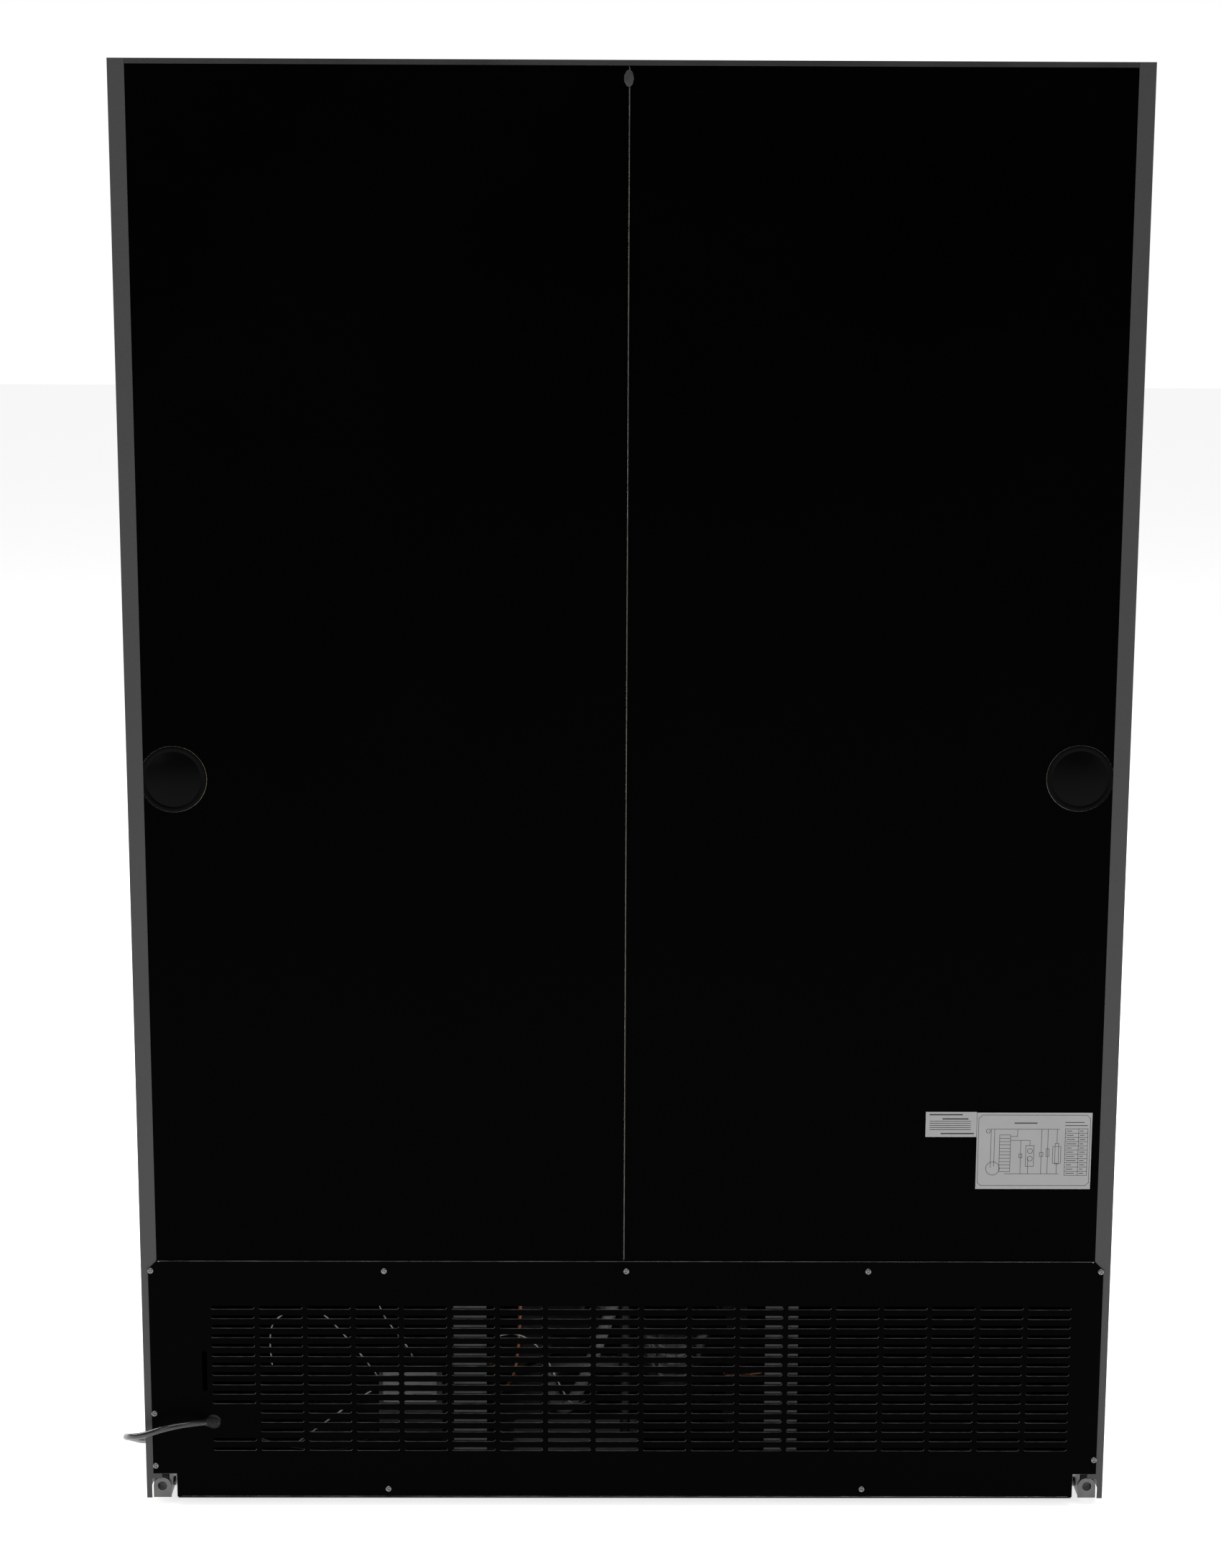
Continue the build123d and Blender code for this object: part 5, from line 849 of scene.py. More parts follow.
# ---------------------------------------------------------------- outer skins
class MERCH_OT_skins(bpy.types.Operator):
    """Paints the outer sheets and adds the seam, its sealant and the port covers"""

    bl_idname = "merch.skins"
    bl_label = "Outer skins"

    def execute(self, context):
        paint("side_panel_left", "casing")
        paint("side_panel_right", "casing")
        paint("top_panel", "header")
        paint("back_panel_left", "rear")
        paint("back_panel_right", "rear")
        low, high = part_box("back_panel_left")
        seam_x = high.x
        face_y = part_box("back_panel_right")[1].y

        # A small half-round bead along the seam of the two rear sheets: a real ridge, and its
        # brightness is a painted highlight from the metallic edge finish
        bm = bmesh.new()
        rolled_edge = [
            (seam_x - 0.00045 + 0.00035 * math.cos(math.pi * step / 8),
             face_y + 0.00062 + 0.00028 * math.sin(math.pi * step / 8))
            for step in range(9)
        ]
        add_prism(bm, rolled_edge, low.z + 0.036, high.z - 0.009, "Z")
        make("seam_edge", bm, "highlight")

        bm = bmesh.new()
        dab = bmesh.ops.create_icosphere(bm, subdivisions=4, radius=1.0)["verts"]
        for vert in dab:
            wobble = 1 + 0.07 * math.sin(7 * vert.co.x + 3) * math.cos(5 * vert.co.z)
            vert.co.x *= 0.0062 * wobble
            vert.co.y *= 0.0008
            vert.co.z *= 0.0105 * wobble
        bmesh.ops.translate(bm, vec=(seam_x + 0.001, face_y + 0.0006, high.z - 0.022), verts=dab)
        make("seam_sealant", bm, "sealant")

        low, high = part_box("foam_port_plugs")
        bm = bmesh.new()
        radius = (high.z - low.z - 0.004) / 2
        for x, z in ((low.x + radius, high.z - radius), (high.x - radius, low.z + radius)):
            add_lathe(
                bm,
                [(0.0, -0.0009), (radius, -0.0009), (radius, -0.0002), (radius - 0.0006, 0.0),
                 (radius - 0.006, 0.0), (radius - 0.0068, -0.00035), (radius - 0.0080, -0.00035),
                 (radius - 0.0088, 0.0), (0.0, 0.0)],
                Vector((x, high.y, z)), (0, 1, 0), 96,
            )
        make("port_covers", bm, "port", stands_for=["foam_port_plugs"])
        return {"FINISHED"}


# ---------------------------------------------------------------- louvred panel
LOUVRE_COLUMNS = 18
LOUVRE_ROWS = 16
LOUVRE_PITCH = (0.0671, 0.014)
LOUVRE_MIDDLE = (-0.0215, 0.191)
LOUVRE_SLOT = (0.060, 0.005)
CLOSED_ROWS = (11, 12, 13)


def slot_places():
    """The middle of each louvre slot, from the +X top corner."""
    first_x = LOUVRE_MIDDLE[0] + LOUVRE_PITCH[0] * (LOUVRE_COLUMNS - 1) / 2
    first_z = LOUVRE_MIDDLE[1] + LOUVRE_PITCH[1] * (LOUVRE_ROWS - 1) / 2
    return [
        (first_x - column * LOUVRE_PITCH[0], first_z - row * LOUVRE_PITCH[1])
        for column in range(LOUVRE_COLUMNS)
        for row in range(LOUVRE_ROWS)
        if column > 0 or row not in CLOSED_ROWS
    ]


class MERCH_OT_louvres(bpy.types.Operator):
    """Paints the louvred panel and lays a thin metallic tube along the lower edge of each of its
    slots, a painted highlight
    """

    bl_idname = "merch.louvres"
    bl_label = "Louvred panel"

    def execute(self, context):
        paint("louver_panel", "louvre")
        low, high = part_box("louver_panel")
        face = high.y - 0.001
        lip = sizes().slot_lip
        half, round_r = LOUVRE_SLOT[0] / 2, LOUVRE_SLOT[1] / 2
        straight = half - round_r

        # A thin metallic tube along each slot's lower edge and partway round its +X end: a painted
        # highlight
        bm = bmesh.new()
        path = []
        for step in range(9):
            angle = math.radians(-90 - 90 * step / 8)
            path.append((-straight + round_r * math.cos(angle), round_r * math.sin(angle)))
        path.reverse()
        for step in range(9):
            angle = math.radians(-90 + 60 * step / 8)
            path.append((straight + round_r * math.cos(angle), round_r * math.sin(angle)))
        add_tube(bm, [(x, 0.0, z) for x, z in path], lip / 2, 6)
        points = [(x, face - 0.0001, z) for x, z in slot_places()]
        scattered("slot_lips", bm, points, "highlight", slot="grille_black")

        # Thin tubes along the top and bottom folds of the louvred panel carry a painted highlight of
        # the folded edges
        bm = bmesh.new()
        add_tube(bm, [(low.x + 0.014, high.y - 0.0012, high.z - 0.0005),
                      (high.x - 0.014, high.y - 0.0012, high.z - 0.0005)], 0.0007, 10)
        add_tube(bm, [(-0.626, high.y - 0.0008, low.z + 0.0006),
                      (0.626, high.y - 0.0008, low.z + 0.0006)], 0.0006, 10)
        make("folded_edges", bm, "fold_highlight")
        return {"FINISHED"}


# ---------------------------------------------------------------- screws
SIDE_X = 0.6614
SCREW_PLACES = [
    (-0.337, 0.350), (0.0, 0.350), (0.337, 0.350), (-0.334, 0.0265), (0.334, 0.0265),
    (-SIDE_X, 0.350), (-SIDE_X, 0.0705), (SIDE_X, 0.350), (SIDE_X, 0.139), (SIDE_X, 0.061),
]


def add_pan_head(bm, radius, dome):
    """A cross-recessed pan head, its back on y = 0 and its dome towards +Y."""
    segments = 32
    rings = []
    arm, slot_half, sink = radius * 0.62, radius * 0.15, dome * 0.55
    profile = [(1.0, 0.0), (1.0, 0.30), (0.95, 0.62), (0.82, 0.85), (0.64, 0.97)]
    for share, height in profile:
        ring = [
            bm.verts.new((radius * share * math.cos(TAU * step / segments), dome * height,
                          radius * share * math.sin(TAU * step / segments)))
            for step in range(segments)
        ]
        rings.append(ring)
    for lower, upper in zip(rings, rings[1:]):
        bridge(bm, lower, upper)
    bm.faces.new(rings[0])
    corners = []
    for quarter in range(4):
        turn = TAU * quarter / 4
        for x, z in ((arm, -slot_half), (arm, slot_half), (slot_half, slot_half)):
            corners.append((x * math.cos(turn) - z * math.sin(turn),
                            x * math.sin(turn) + z * math.cos(turn)))
    rim = [bm.verts.new((x, dome, z)) for x, z in corners]
    floor = [bm.verts.new((x * 0.55, dome - sink, z * 0.55)) for x, z in corners]
    bridge(bm, rim, floor)
    bm.faces.new(floor)
    edges = [bm.edges.get((a, b)) for a, b in zip(rings[-1], rings[-1][1:] + rings[-1][:1])]
    edges += [bm.edges.get((a, b)) for a, b in zip(rim, rim[1:] + rim[:1])]
    bmesh.ops.triangle_fill(bm, use_beauty=True, edges=edges)


class MERCH_OT_screws(bpy.types.Operator):
    """Sets the cross-head screws of the louvred panel"""

    bl_idname = "merch.screws"
    bl_label = "Rear screws"

    def execute(self, context):
        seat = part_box("rear_screws")[1].y - 0.0026
        bm = bmesh.new()
        add_pan_head(bm, sizes().screw_head / 2, sizes().screw_dome)
        points = [(x, seat, z) for x, z in SCREW_PLACES]
        scattered("pan_heads", bm, points, "screw", turn=1.5, seed=11,
                  stands_for=["rear_screws"], slot="zinc")
        return {"FINISHED"}


# ---------------------------------------------------------------- labels
def add_line(bm, a, b, width, y):
    """A printed line between two points of a label."""
    a, b = Vector((a[0], 0, a[1])), Vector((b[0], 0, b[1]))
    across = (b - a).normalized().cross(Vector((0, 1, 0))) * width / 2
    run = (b - a).normalized() * width / 2
    corners = [a - run + across, b + run + across, b + run - across, a - run - across]
    lower = [bm.verts.new(corner + Vector((0, y, 0))) for corner in corners]
    upper = [bm.verts.new(corner + Vector((0, y + 0.00005, 0))) for corner in corners]
    bridge(bm, lower, upper)
    bm.faces.new(lower)
    bm.faces.new(upper)


class MERCH_OT_labels(bpy.types.Operator):
    """Prints plain diagrams on the two rear labels"""

    bl_idname = "merch.labels"
    bl_label = "Labels"

    def execute(self, context):
        paint("labels", "stock")
        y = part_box("labels")[1].y + 0.00002
        bm = bmesh.new()
        right, top = -0.483, 0.580
        wide, tall = 0.159, 0.110

        def at(u, v):
            """A place on the large label, from its top corner nearest the middle."""
            return (right - u * wide, top - v * tall)

        def line(start, end, width=0.0006):
            """A stroke between two places on the large label."""
            add_line(bm, at(*start), at(*end), width, y)

        def path(corners):
            """Strokes from corner to corner on the large label."""
            for start, end in zip(corners, corners[1:]):
                line(start, end)

        path([(0.045, 0.03), (0.955, 0.03), (0.985, 0.075), (0.985, 0.915), (0.955, 0.955),
              (0.045, 0.955), (0.015, 0.915), (0.015, 0.075), (0.045, 0.03)])
        for x in (0.77, 0.885, 0.965):
            line((x, 0.21), (x, 0.82))
        for step in range(12):
            v = 0.21 + 0.61 * step / 11
            line((0.77, v), (0.965, v))
            if step < 11:
                line((0.785, v + 0.028), (0.785 + 0.04 + 0.013 * (step % 4), v + 0.028), 0.0009)
                line((0.90, v + 0.028), (0.925 + 0.008 * (step % 3), v + 0.028), 0.0009)
        for x in (0.20, 0.295):
            line((x, 0.29), (x, 0.77))
        for step in range(12):
            v = 0.29 + 0.48 * step / 11
            line((0.20, v), (0.295, v))
        line((0.12, 0.215), (0.72, 0.215))
        line((0.25, 0.80), (0.72, 0.80))
        for x, v0, v1 in ((0.125, 0.215, 0.72), (0.155, 0.215, 0.70), (0.385, 0.36, 0.80),
                          (0.45, 0.60, 0.80), (0.565, 0.215, 0.80), (0.62, 0.215, 0.80),
                          (0.70, 0.215, 0.40), (0.70, 0.66, 0.80)):
            line((x, v0), (x, v1))
        line((0.295, 0.31), (0.355, 0.31))
        line((0.355, 0.215), (0.355, 0.31))
        line((0.295, 0.36), (0.465, 0.36))
        line((0.465, 0.36), (0.465, 0.43))
        for x, v, w, h in ((0.43, 0.43, 0.07, 0.27), (0.665, 0.44, 0.07, 0.22),
                           (0.685, 0.40, 0.03, 0.27), (0.55, 0.52, 0.03, 0.05),
                           (0.607, 0.47, 0.026, 0.10), (0.372, 0.54, 0.026, 0.05)):
            path([(x, v), (x + w, v), (x + w, v + h), (x, v + h), (x, v)])
        for ring_u, ring_v, ring_r in ((0.145, 0.73, 0.0095), (0.467, 0.50, 0.0035),
                                       (0.467, 0.60, 0.0035), (0.10, 0.24, 0.0028)):
            middle = at(ring_u, ring_v)
            dots = [(middle[0] + ring_r * math.cos(TAU * step / 20),
                     middle[1] + ring_r * math.sin(TAU * step / 20)) for step in range(21)]
            for start, end in zip(dots, dots[1:]):
                add_line(bm, start, end, 0.0006, y)
        line((0.33, 0.135), (0.52, 0.135), 0.0016)
        line((0.77, 0.125), (0.93, 0.125), 0.0010)
        line((0.77, 0.165), (0.96, 0.165), 0.0010)

        small_right, small_top = -0.412, 0.581
        for u, v, w in ((0.006, 0.004, 0.044), (0.024, 0.010, 0.034), (0.022, 0.031, 0.044)):
            add_line(bm, (small_right - u, small_top - v), (small_right - u - w, small_top - v),
                     0.0018, y)
        for v in (0.0135, 0.0165, 0.0195, 0.0225, 0.0255):
            add_line(bm, (small_right - 0.006, small_top - v), (small_right - 0.062, small_top - v),
                     0.0008, y)
        make("label_print", bm, "ink", smooth=False, doubles=False)
        return {"FINISHED"}


# ---------------------------------------------------------------- base
class MERCH_OT_base(bpy.types.Operator):
    """Finishes the base: frame, decks, posts, lugs, rollers and feet"""

    bl_idname = "merch.base"
    bl_label = "Base"

    def execute(self, context):
        paint("base_frame", "base")
        paint("galvanised_decks", "deck")
        paint("rear_posts", "post")
        paint("rear_brackets", "zinc")
        for side in ("left", "right"):
            low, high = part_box(f"rear_roller_{side}")
            middle = (low + high) / 2
            radius = (high.z - low.z) / 2
            half = (high.x - low.x) / 2
            bore = 0.00405
            face = [(bore, 0), (0.010, 0), (0.0105, 0.002), (radius - 0.006, 0.002),
                    (radius - 0.005, 0.0003), (radius - 0.0015, 0.0006), (radius, 0.002)]
            profile = [(out, -half + inset) for out, inset in face]
            profile += [(out, half - inset) for out, inset in reversed(face)]
            bm = bmesh.new()
            add_lathe(bm, profile + profile[:1], middle, (1, 0, 0), 64)
            make(f"roller_tread_{side}", bm, "nylon", body=f"roller_{side}",
                 stands_for=[f"rear_roller_{side}"])
            low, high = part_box(f"levelling_foot_{side}")
            middle = (low + high) / 2
            middle.z = 0
            bm = bmesh.new()
            add_lathe(
                bm,
                [(0.0, 0.0), (0.0205, 0.0), (0.022, 0.0015), (0.022, 0.0055), (0.0205, 0.0075),
                 (0.012, 0.008), (0.0, 0.008)],
                middle, (0, 0, 1), 48,
            )
            make(f"foot_pad_{side}", bm, "black plastic", body=f"foot_{side}")
            bm = bmesh.new()
            nut = [(0.0108 * math.cos(TAU * k / 6), 0.0108 * math.sin(TAU * k / 6))
                   for k in range(6)]
            outline = [(middle.x + x, middle.y + z) for x, z in nut]
            add_prism(bm, outline, 0.0078, 0.0116, "Z")
            profile = [(0.0, 0.0076), (0.0056, 0.0076)]
            pitch = 0.00175
            top = high.z
            turns = int((top - 0.0120) / pitch)
            for step in range(turns):
                z = 0.0120 + step * pitch
                profile += [(0.0054, z), (0.0060, z + pitch * 0.4), (0.0060, z + pitch * 0.6)]
            profile += [(0.0052, top - 0.001), (0.0046, top), (0.0, top)]
            add_lathe(bm, profile, middle, (0, 0, 1), 32)
            make(f"foot_stem_{side}", bm, "zinc", body=f"foot_{side}",
                 stands_for=[f"levelling_foot_{side}"])
        return {"FINISHED"}


# ---------------------------------------------------------------- machine compartment
COMPRESSOR = Vector((-0.072, 0.190, 0.0))
CONDENSER_FAN = (-0.020, -0.150, 0.180)
HOSE_ROUTE = [
    (0.002, 0.260, 0.331), (0.002, 0.260, 0.300), (0.020, 0.260, 0.235), (0.066, 0.259, 0.115),
    (0.084, 0.257, 0.084), (0.100, 0.247, 0.092), (0.112, 0.229, 0.126), (0.098, 0.206, 0.133),
    (0.060, 0.190, 0.132), (0.0075, 0.190, 0.132),
]
DISCHARGE_ROUTE = [
    (-0.1515, 0.190, 0.112), (-0.185, 0.190, 0.112), (-0.214, 0.178, 0.112),
    (-0.232, 0.120, 0.112), (-0.232, -0.140, 0.112), (-0.232, -0.205, 0.112),
    (-0.200, -0.205, 0.112),
]
LIQUID_ROUTE = [
    (0.160, -0.205, 0.096), (0.184, -0.205, 0.096), (0.196, -0.193, 0.096), (0.196, -0.1, 0.096),
    (0.196, 0.040, 0.096),
]
RISER_ROUTE = [
    (0.196, 0.140, 0.096), (0.196, 0.215, 0.096), (0.194, 0.250, 0.100), (0.164, 0.262, 0.128),
    (0.155, 0.262, 0.165), (0.150, 0.262, 0.240), (0.150, 0.262, 0.331),
]

WIRING = (
    ("internal_lead", "cord", 0.0030, (
        [(0.579, 0.391, 0.126), (0.560, 0.372, 0.112), (0.500, 0.352, 0.072), (0.430, 0.340, 0.056),
         (0.385, 0.330, 0.060), (0.350, 0.322, 0.080)],
        [(0.262, 0.321, 0.150), (0.230, 0.300, 0.150), (0.120, 0.180, 0.120), (0.020, 0.090, 0.100),
         (-0.030, 0.084, 0.120), (-0.045, 0.090, 0.140)],
        [(0.290, 0.300, 0.080), (0.280, 0.240, 0.060), (0.160, 0.020, 0.056), (0.040, -0.060, 0.060),
         (-0.002, -0.052, 0.120), (-0.010, -0.056, 0.160)],
    )),
    ("white_wires", "white plastic", 0.0011, (
        [(0.300, 0.321, 0.186), (0.306, 0.327, 0.205), (0.330, 0.332, 0.240), (0.345, 0.333, 0.262),
         (0.352, 0.334, 0.288), (0.352, 0.336, 0.330)],
        [(0.502, 0.334, 0.186), (0.508, 0.334, 0.235), (0.490, 0.334, 0.262), (0.455, 0.334, 0.270),
         (0.420, 0.332, 0.262), (0.350, 0.322, 0.160)],
        [(0.478, 0.334, 0.060), (0.440, 0.334, 0.090), (0.380, 0.334, 0.135), (0.356, 0.334, 0.150),
         (0.348, 0.322, 0.150)],
        [(0.262, 0.321, 0.170), (0.230, 0.330, 0.200), (0.165, 0.334, 0.240), (0.120, 0.334, 0.215),
         (0.092, 0.330, 0.150), (0.070, 0.300, 0.100), (0.040, 0.200, 0.090)],
    )),
)


def add_fan(bm, middle, radius, hub, bore, width, blades, sweep):
    """A fan about Y: a turned hub and pitched, curved blades, each a closed plate."""
    add_lathe(
        bm,
        [(bore, -width / 2), (hub * 0.8, -width / 2), (hub, -width / 2 + 0.003),
         (hub, width / 2 - 0.003), (hub * 0.8, width / 2), (bore, width / 2), (bore, -width / 2)],
        middle, (0, 1, 0), 48,
    )
    rows, columns = 7, 9
    for blade in range(blades):
        base = TAU * blade / blades
        sheets = []
        for offset in (-0.0008, 0.0008):
            sheet = []
            for row in range(rows):
                share = row / (rows - 1)
                r = hub * 0.95 + (radius - hub * 0.95) * share
                chord = sweep * (0.75 + 0.45 * math.sin(math.pi * (0.15 + 0.6 * share)))
                line = []
                for column in range(columns):
                    t = column / (columns - 1) - 0.5
                    angle = base + t * chord + 0.35 * share
                    lift = -t * width * 1.35 + 0.0025 * math.cos(math.pi * t)
                    edge = 1 - 0.10 * (2 * t) ** 2 * share
                    line.append(bm.verts.new(Vector(middle) + Vector((
                        r * edge * math.cos(angle), lift + offset, r * edge * math.sin(angle)
                    ))))
                sheet.append(line)
            sheets.append(sheet)
        for sheet in sheets:
            for row in range(rows - 1):
                for column in range(columns - 1):
                    bm.faces.new((sheet[row][column], sheet[row][column + 1],
                                  sheet[row + 1][column + 1], sheet[row + 1][column]))
        rim = [(row, 0) for row in range(rows)]
        rim += [(rows - 1, column) for column in range(1, columns)]
        rim += [(row, columns - 1) for row in range(rows - 2, -1, -1)]
        rim += [(0, column) for column in range(columns - 2, 0, -1)]
        for (r0, c0), (r1, c1) in zip(rim, rim[1:] + rim[:1]):
            bm.faces.new((sheets[0][r0][c0], sheets[0][r1][c1],
                          sheets[1][r1][c1], sheets[1][r0][c0]))


def add_guard(bm, middle, radius, rings, wire):
    """A round wire fan guard in the plane across Y: rings and four spokes."""
    middle = Vector(middle)
    ring_steps, sides = 48, 8
    for ring in range(1, rings + 1):
        hoops = []
        for step in range(ring_steps):
            turn = TAU * step / ring_steps
            outward = Vector((math.cos(turn), 0, math.sin(turn)))
            point = middle + radius * ring / rings * outward
            hoops.append([
                bm.verts.new(point + wire / 2 * (math.cos(TAU * s / sides) * outward
                                                 + math.sin(TAU * s / sides) * Vector((0, 1, 0))))
                for s in range(sides)
            ])
        for here, there in zip(hoops, hoops[1:] + hoops[:1]):
            bridge(bm, here, there)
    for spoke in range(4):
        angle = math.radians(45 + 90 * spoke)
        out = Vector((math.cos(angle), 0, math.sin(angle)))
        hub = middle + Vector((0, wire, 0))
        add_tube(bm, [hub + out * radius / rings, hub + out * (radius + wire)], wire * 0.6, 8)


class MERCH_OT_machinery(bpy.types.Operator):
    """Builds the compressor, pipes, condenser, its fan and the junction box"""

    bl_idname = "merch.machinery"
    bl_label = "Machine compartment"

    def execute(self, context):
        bm = bmesh.new()
        shell = COMPRESSOR
        top, bottom, radius, bend = 0.224, 0.064, 0.079, 0.030
        seam = (top + bottom) / 2
        quarter = [math.radians(90 * step / 8) for step in range(9)]
        profile = [(0.0, bottom)]
        profile += [(radius - bend + bend * math.sin(angle), bottom + bend - bend * math.cos(angle))
                    for angle in quarter]
        profile += [(radius, seam - 0.0030), (radius + 0.003, seam - 0.0025),
                    (radius + 0.003, seam + 0.0025), (radius, seam + 0.0030)]
        profile += [(radius - bend + bend * math.cos(angle), top - bend + bend * math.sin(angle))
                    for angle in quarter]
        profile.append((0.0, top))
        add_lathe(bm, profile, shell, (0, 0, 1), 96)
        low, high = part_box("compressor")
        add_box(bm, (low.x, low.y + 0.028, 0.061), (high.x, shell.y + 0.069, 0.0655), 0.001)
        add_box(bm, (shell.x - 0.030, low.y, 0.110), (shell.x + 0.030, shell.y - 0.060, 0.170),
                0.004, 3)
        for side, z in ((1, 0.132), (-1, 0.112)):
            add_lathe(bm, [(0.0, -0.004), (0.0075, -0.004), (0.0075, 0.0015), (0.0, 0.0015)],
                      shell + Vector((side * 0.0775, 0, z)), (side, 0, 0), 24)
        make("compressor_shell", bm, "enamel", stands_for=["compressor"])

        bm = bmesh.new()
        foot_profile = [(0.0, 0.0), (0.010, 0.0), (0.010, 0.003), (0.0078, 0.0045),
                        (0.0078, 0.0065), (0.010, 0.008), (0.010, 0.011), (0.0, 0.011)]
        add_lathe(bm, foot_profile, (0, 0, 0), (0, 0, 1), 32)
        rows_of("rubber_grommets", bm, 2, 2, (shell.x - 0.082, shell.y - 0.055, 0.050),
                (0.164, 0, 0), (0, 0.110, 0), "rubber", stands_for=["compressor_grommets"],
                slot="black_rubber")

        bm = bmesh.new()
        add_tube(bm, smooth_path(HOSE_ROUTE), 0.009, 24)
        make("suction_hose", bm, "hose", stands_for=["suction_line"])

        bm = bmesh.new()
        for route in (DISCHARGE_ROUTE, LIQUID_ROUTE, RISER_ROUTE):
            add_tube(bm, smooth_path(route), 0.004, 16)
        add_lathe(
            bm,
            [(0.0, 0.0), (0.005, 0.0), (0.0055, 0.006), (0.012, 0.012), (0.012, 0.088),
             (0.0055, 0.094), (0.005, 0.100), (0.0, 0.100)],
            Vector((0.196, 0.040, 0.096)), (0, 1, 0), 32,
        )
        make("copper_pipes", bm, "copper", stands_for=["refrigerant_pipes"])

        low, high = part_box("condenser_coil")
        pitch = sizes().fin_pitch
        bm = bmesh.new()
        add_box(bm, (-0.00012, low.y + 0.006, 0.056), (0.00012, high.y, 0.304))
        count = int((high.x - low.x - 0.008) / pitch)
        rows_of("condenser_fins", bm, count, 1, (low.x + 0.005, 0, 0), (pitch, 0, 0), (0, 0, 0),
                "fins", stands_for=["condenser_coil"], slot="fin_aluminium", smooth=False)
        bm = bmesh.new()
        for x in (low.x + 0.001, high.x - 0.001):
            add_box(bm, (x - 0.001, low.y, 0.050), (x + 0.001, high.y, high.z), 0.0004, 1)
        make("condenser_ends", bm, "galvanised")
        bm = bmesh.new()
        for row in range(8):
            z = 0.075 + row * 0.030
            for y in (low.y + 0.022, high.y - 0.016):
                add_tube(bm, [(low.x - 0.004, y, z), (high.x + 0.004, y, z)], 0.0045, 14)
        make("condenser_tubes", bm, "copper")
        paint("condenser_shroud", "galvanised")

        bm = bmesh.new()
        add_fan(bm, CONDENSER_FAN, 0.110, 0.024, 0.00405, 0.022, 5, 0.95)
        make("condenser_fan_blades", bm, "fins", body="condenser_fan_wheel",
             stands_for=["condenser_fan"])
        paint("condenser_motor", "motor")
        bm = bmesh.new()
        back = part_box("condenser_shroud")[1].y
        fan_x, _, fan_z = CONDENSER_FAN
        add_guard(bm, (fan_x, back + 0.020, fan_z), 0.116, sizes().guard_rings, 0.0022)
        for step in range(4):
            angle = math.radians(45 + 90 * step)
            x, z = fan_x + 0.118 * math.cos(angle), fan_z + 0.118 * math.sin(angle)
            add_tube(bm, [(x, back - 0.0005, z), (x, back + 0.0225, z)], 0.0016, 8)
        make("condenser_guard", bm, "wire")

        for name, tone, radius, routes in WIRING:
            bm = bmesh.new()
            for route in routes:
                add_tube(bm, smooth_path(route), radius, 10)
            make(name, bm, tone)

        paint("drain_pan", "moulded")
        paint("drain_tube", "drain")
        paint("junction_box", "black plastic")
        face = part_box("junction_box")[1].y
        bm = bmesh.new()
        corner = 0.003
        centres = ((0.341, 0.178), (0.271, 0.178), (0.271, 0.137), (0.341, 0.137))
        rounded = [
            (x + corner * math.cos(math.radians(90 * quarter + 15 * step)),
             z + corner * math.sin(math.radians(90 * quarter + 15 * step)))
            for quarter, (x, z) in enumerate(centres)
            for step in range(7)
        ]
        add_prism(bm, rounded, face, face + 0.0004)
        make("junction_label", bm, "stock")
        bm = bmesh.new()
        for z, left, right in ((0.172, 0.274, 0.322), (0.166, 0.274, 0.312), (0.158, 0.274, 0.330),
                               (0.146, 0.274, 0.300), (0.140, 0.274, 0.316)):
            add_line(bm, (right, z), (left, z), 0.0012, face + 0.00042)
        make("junction_print", bm, "ink", smooth=False, doubles=False)
        return {"FINISHED"}


# ---------------------------------------------------------------- cooling unit
COOLER_Z = 1.836  # of the fans, the knob and the switch
COOLER_FAN_X = 0.190
KNOB_X = 0.045


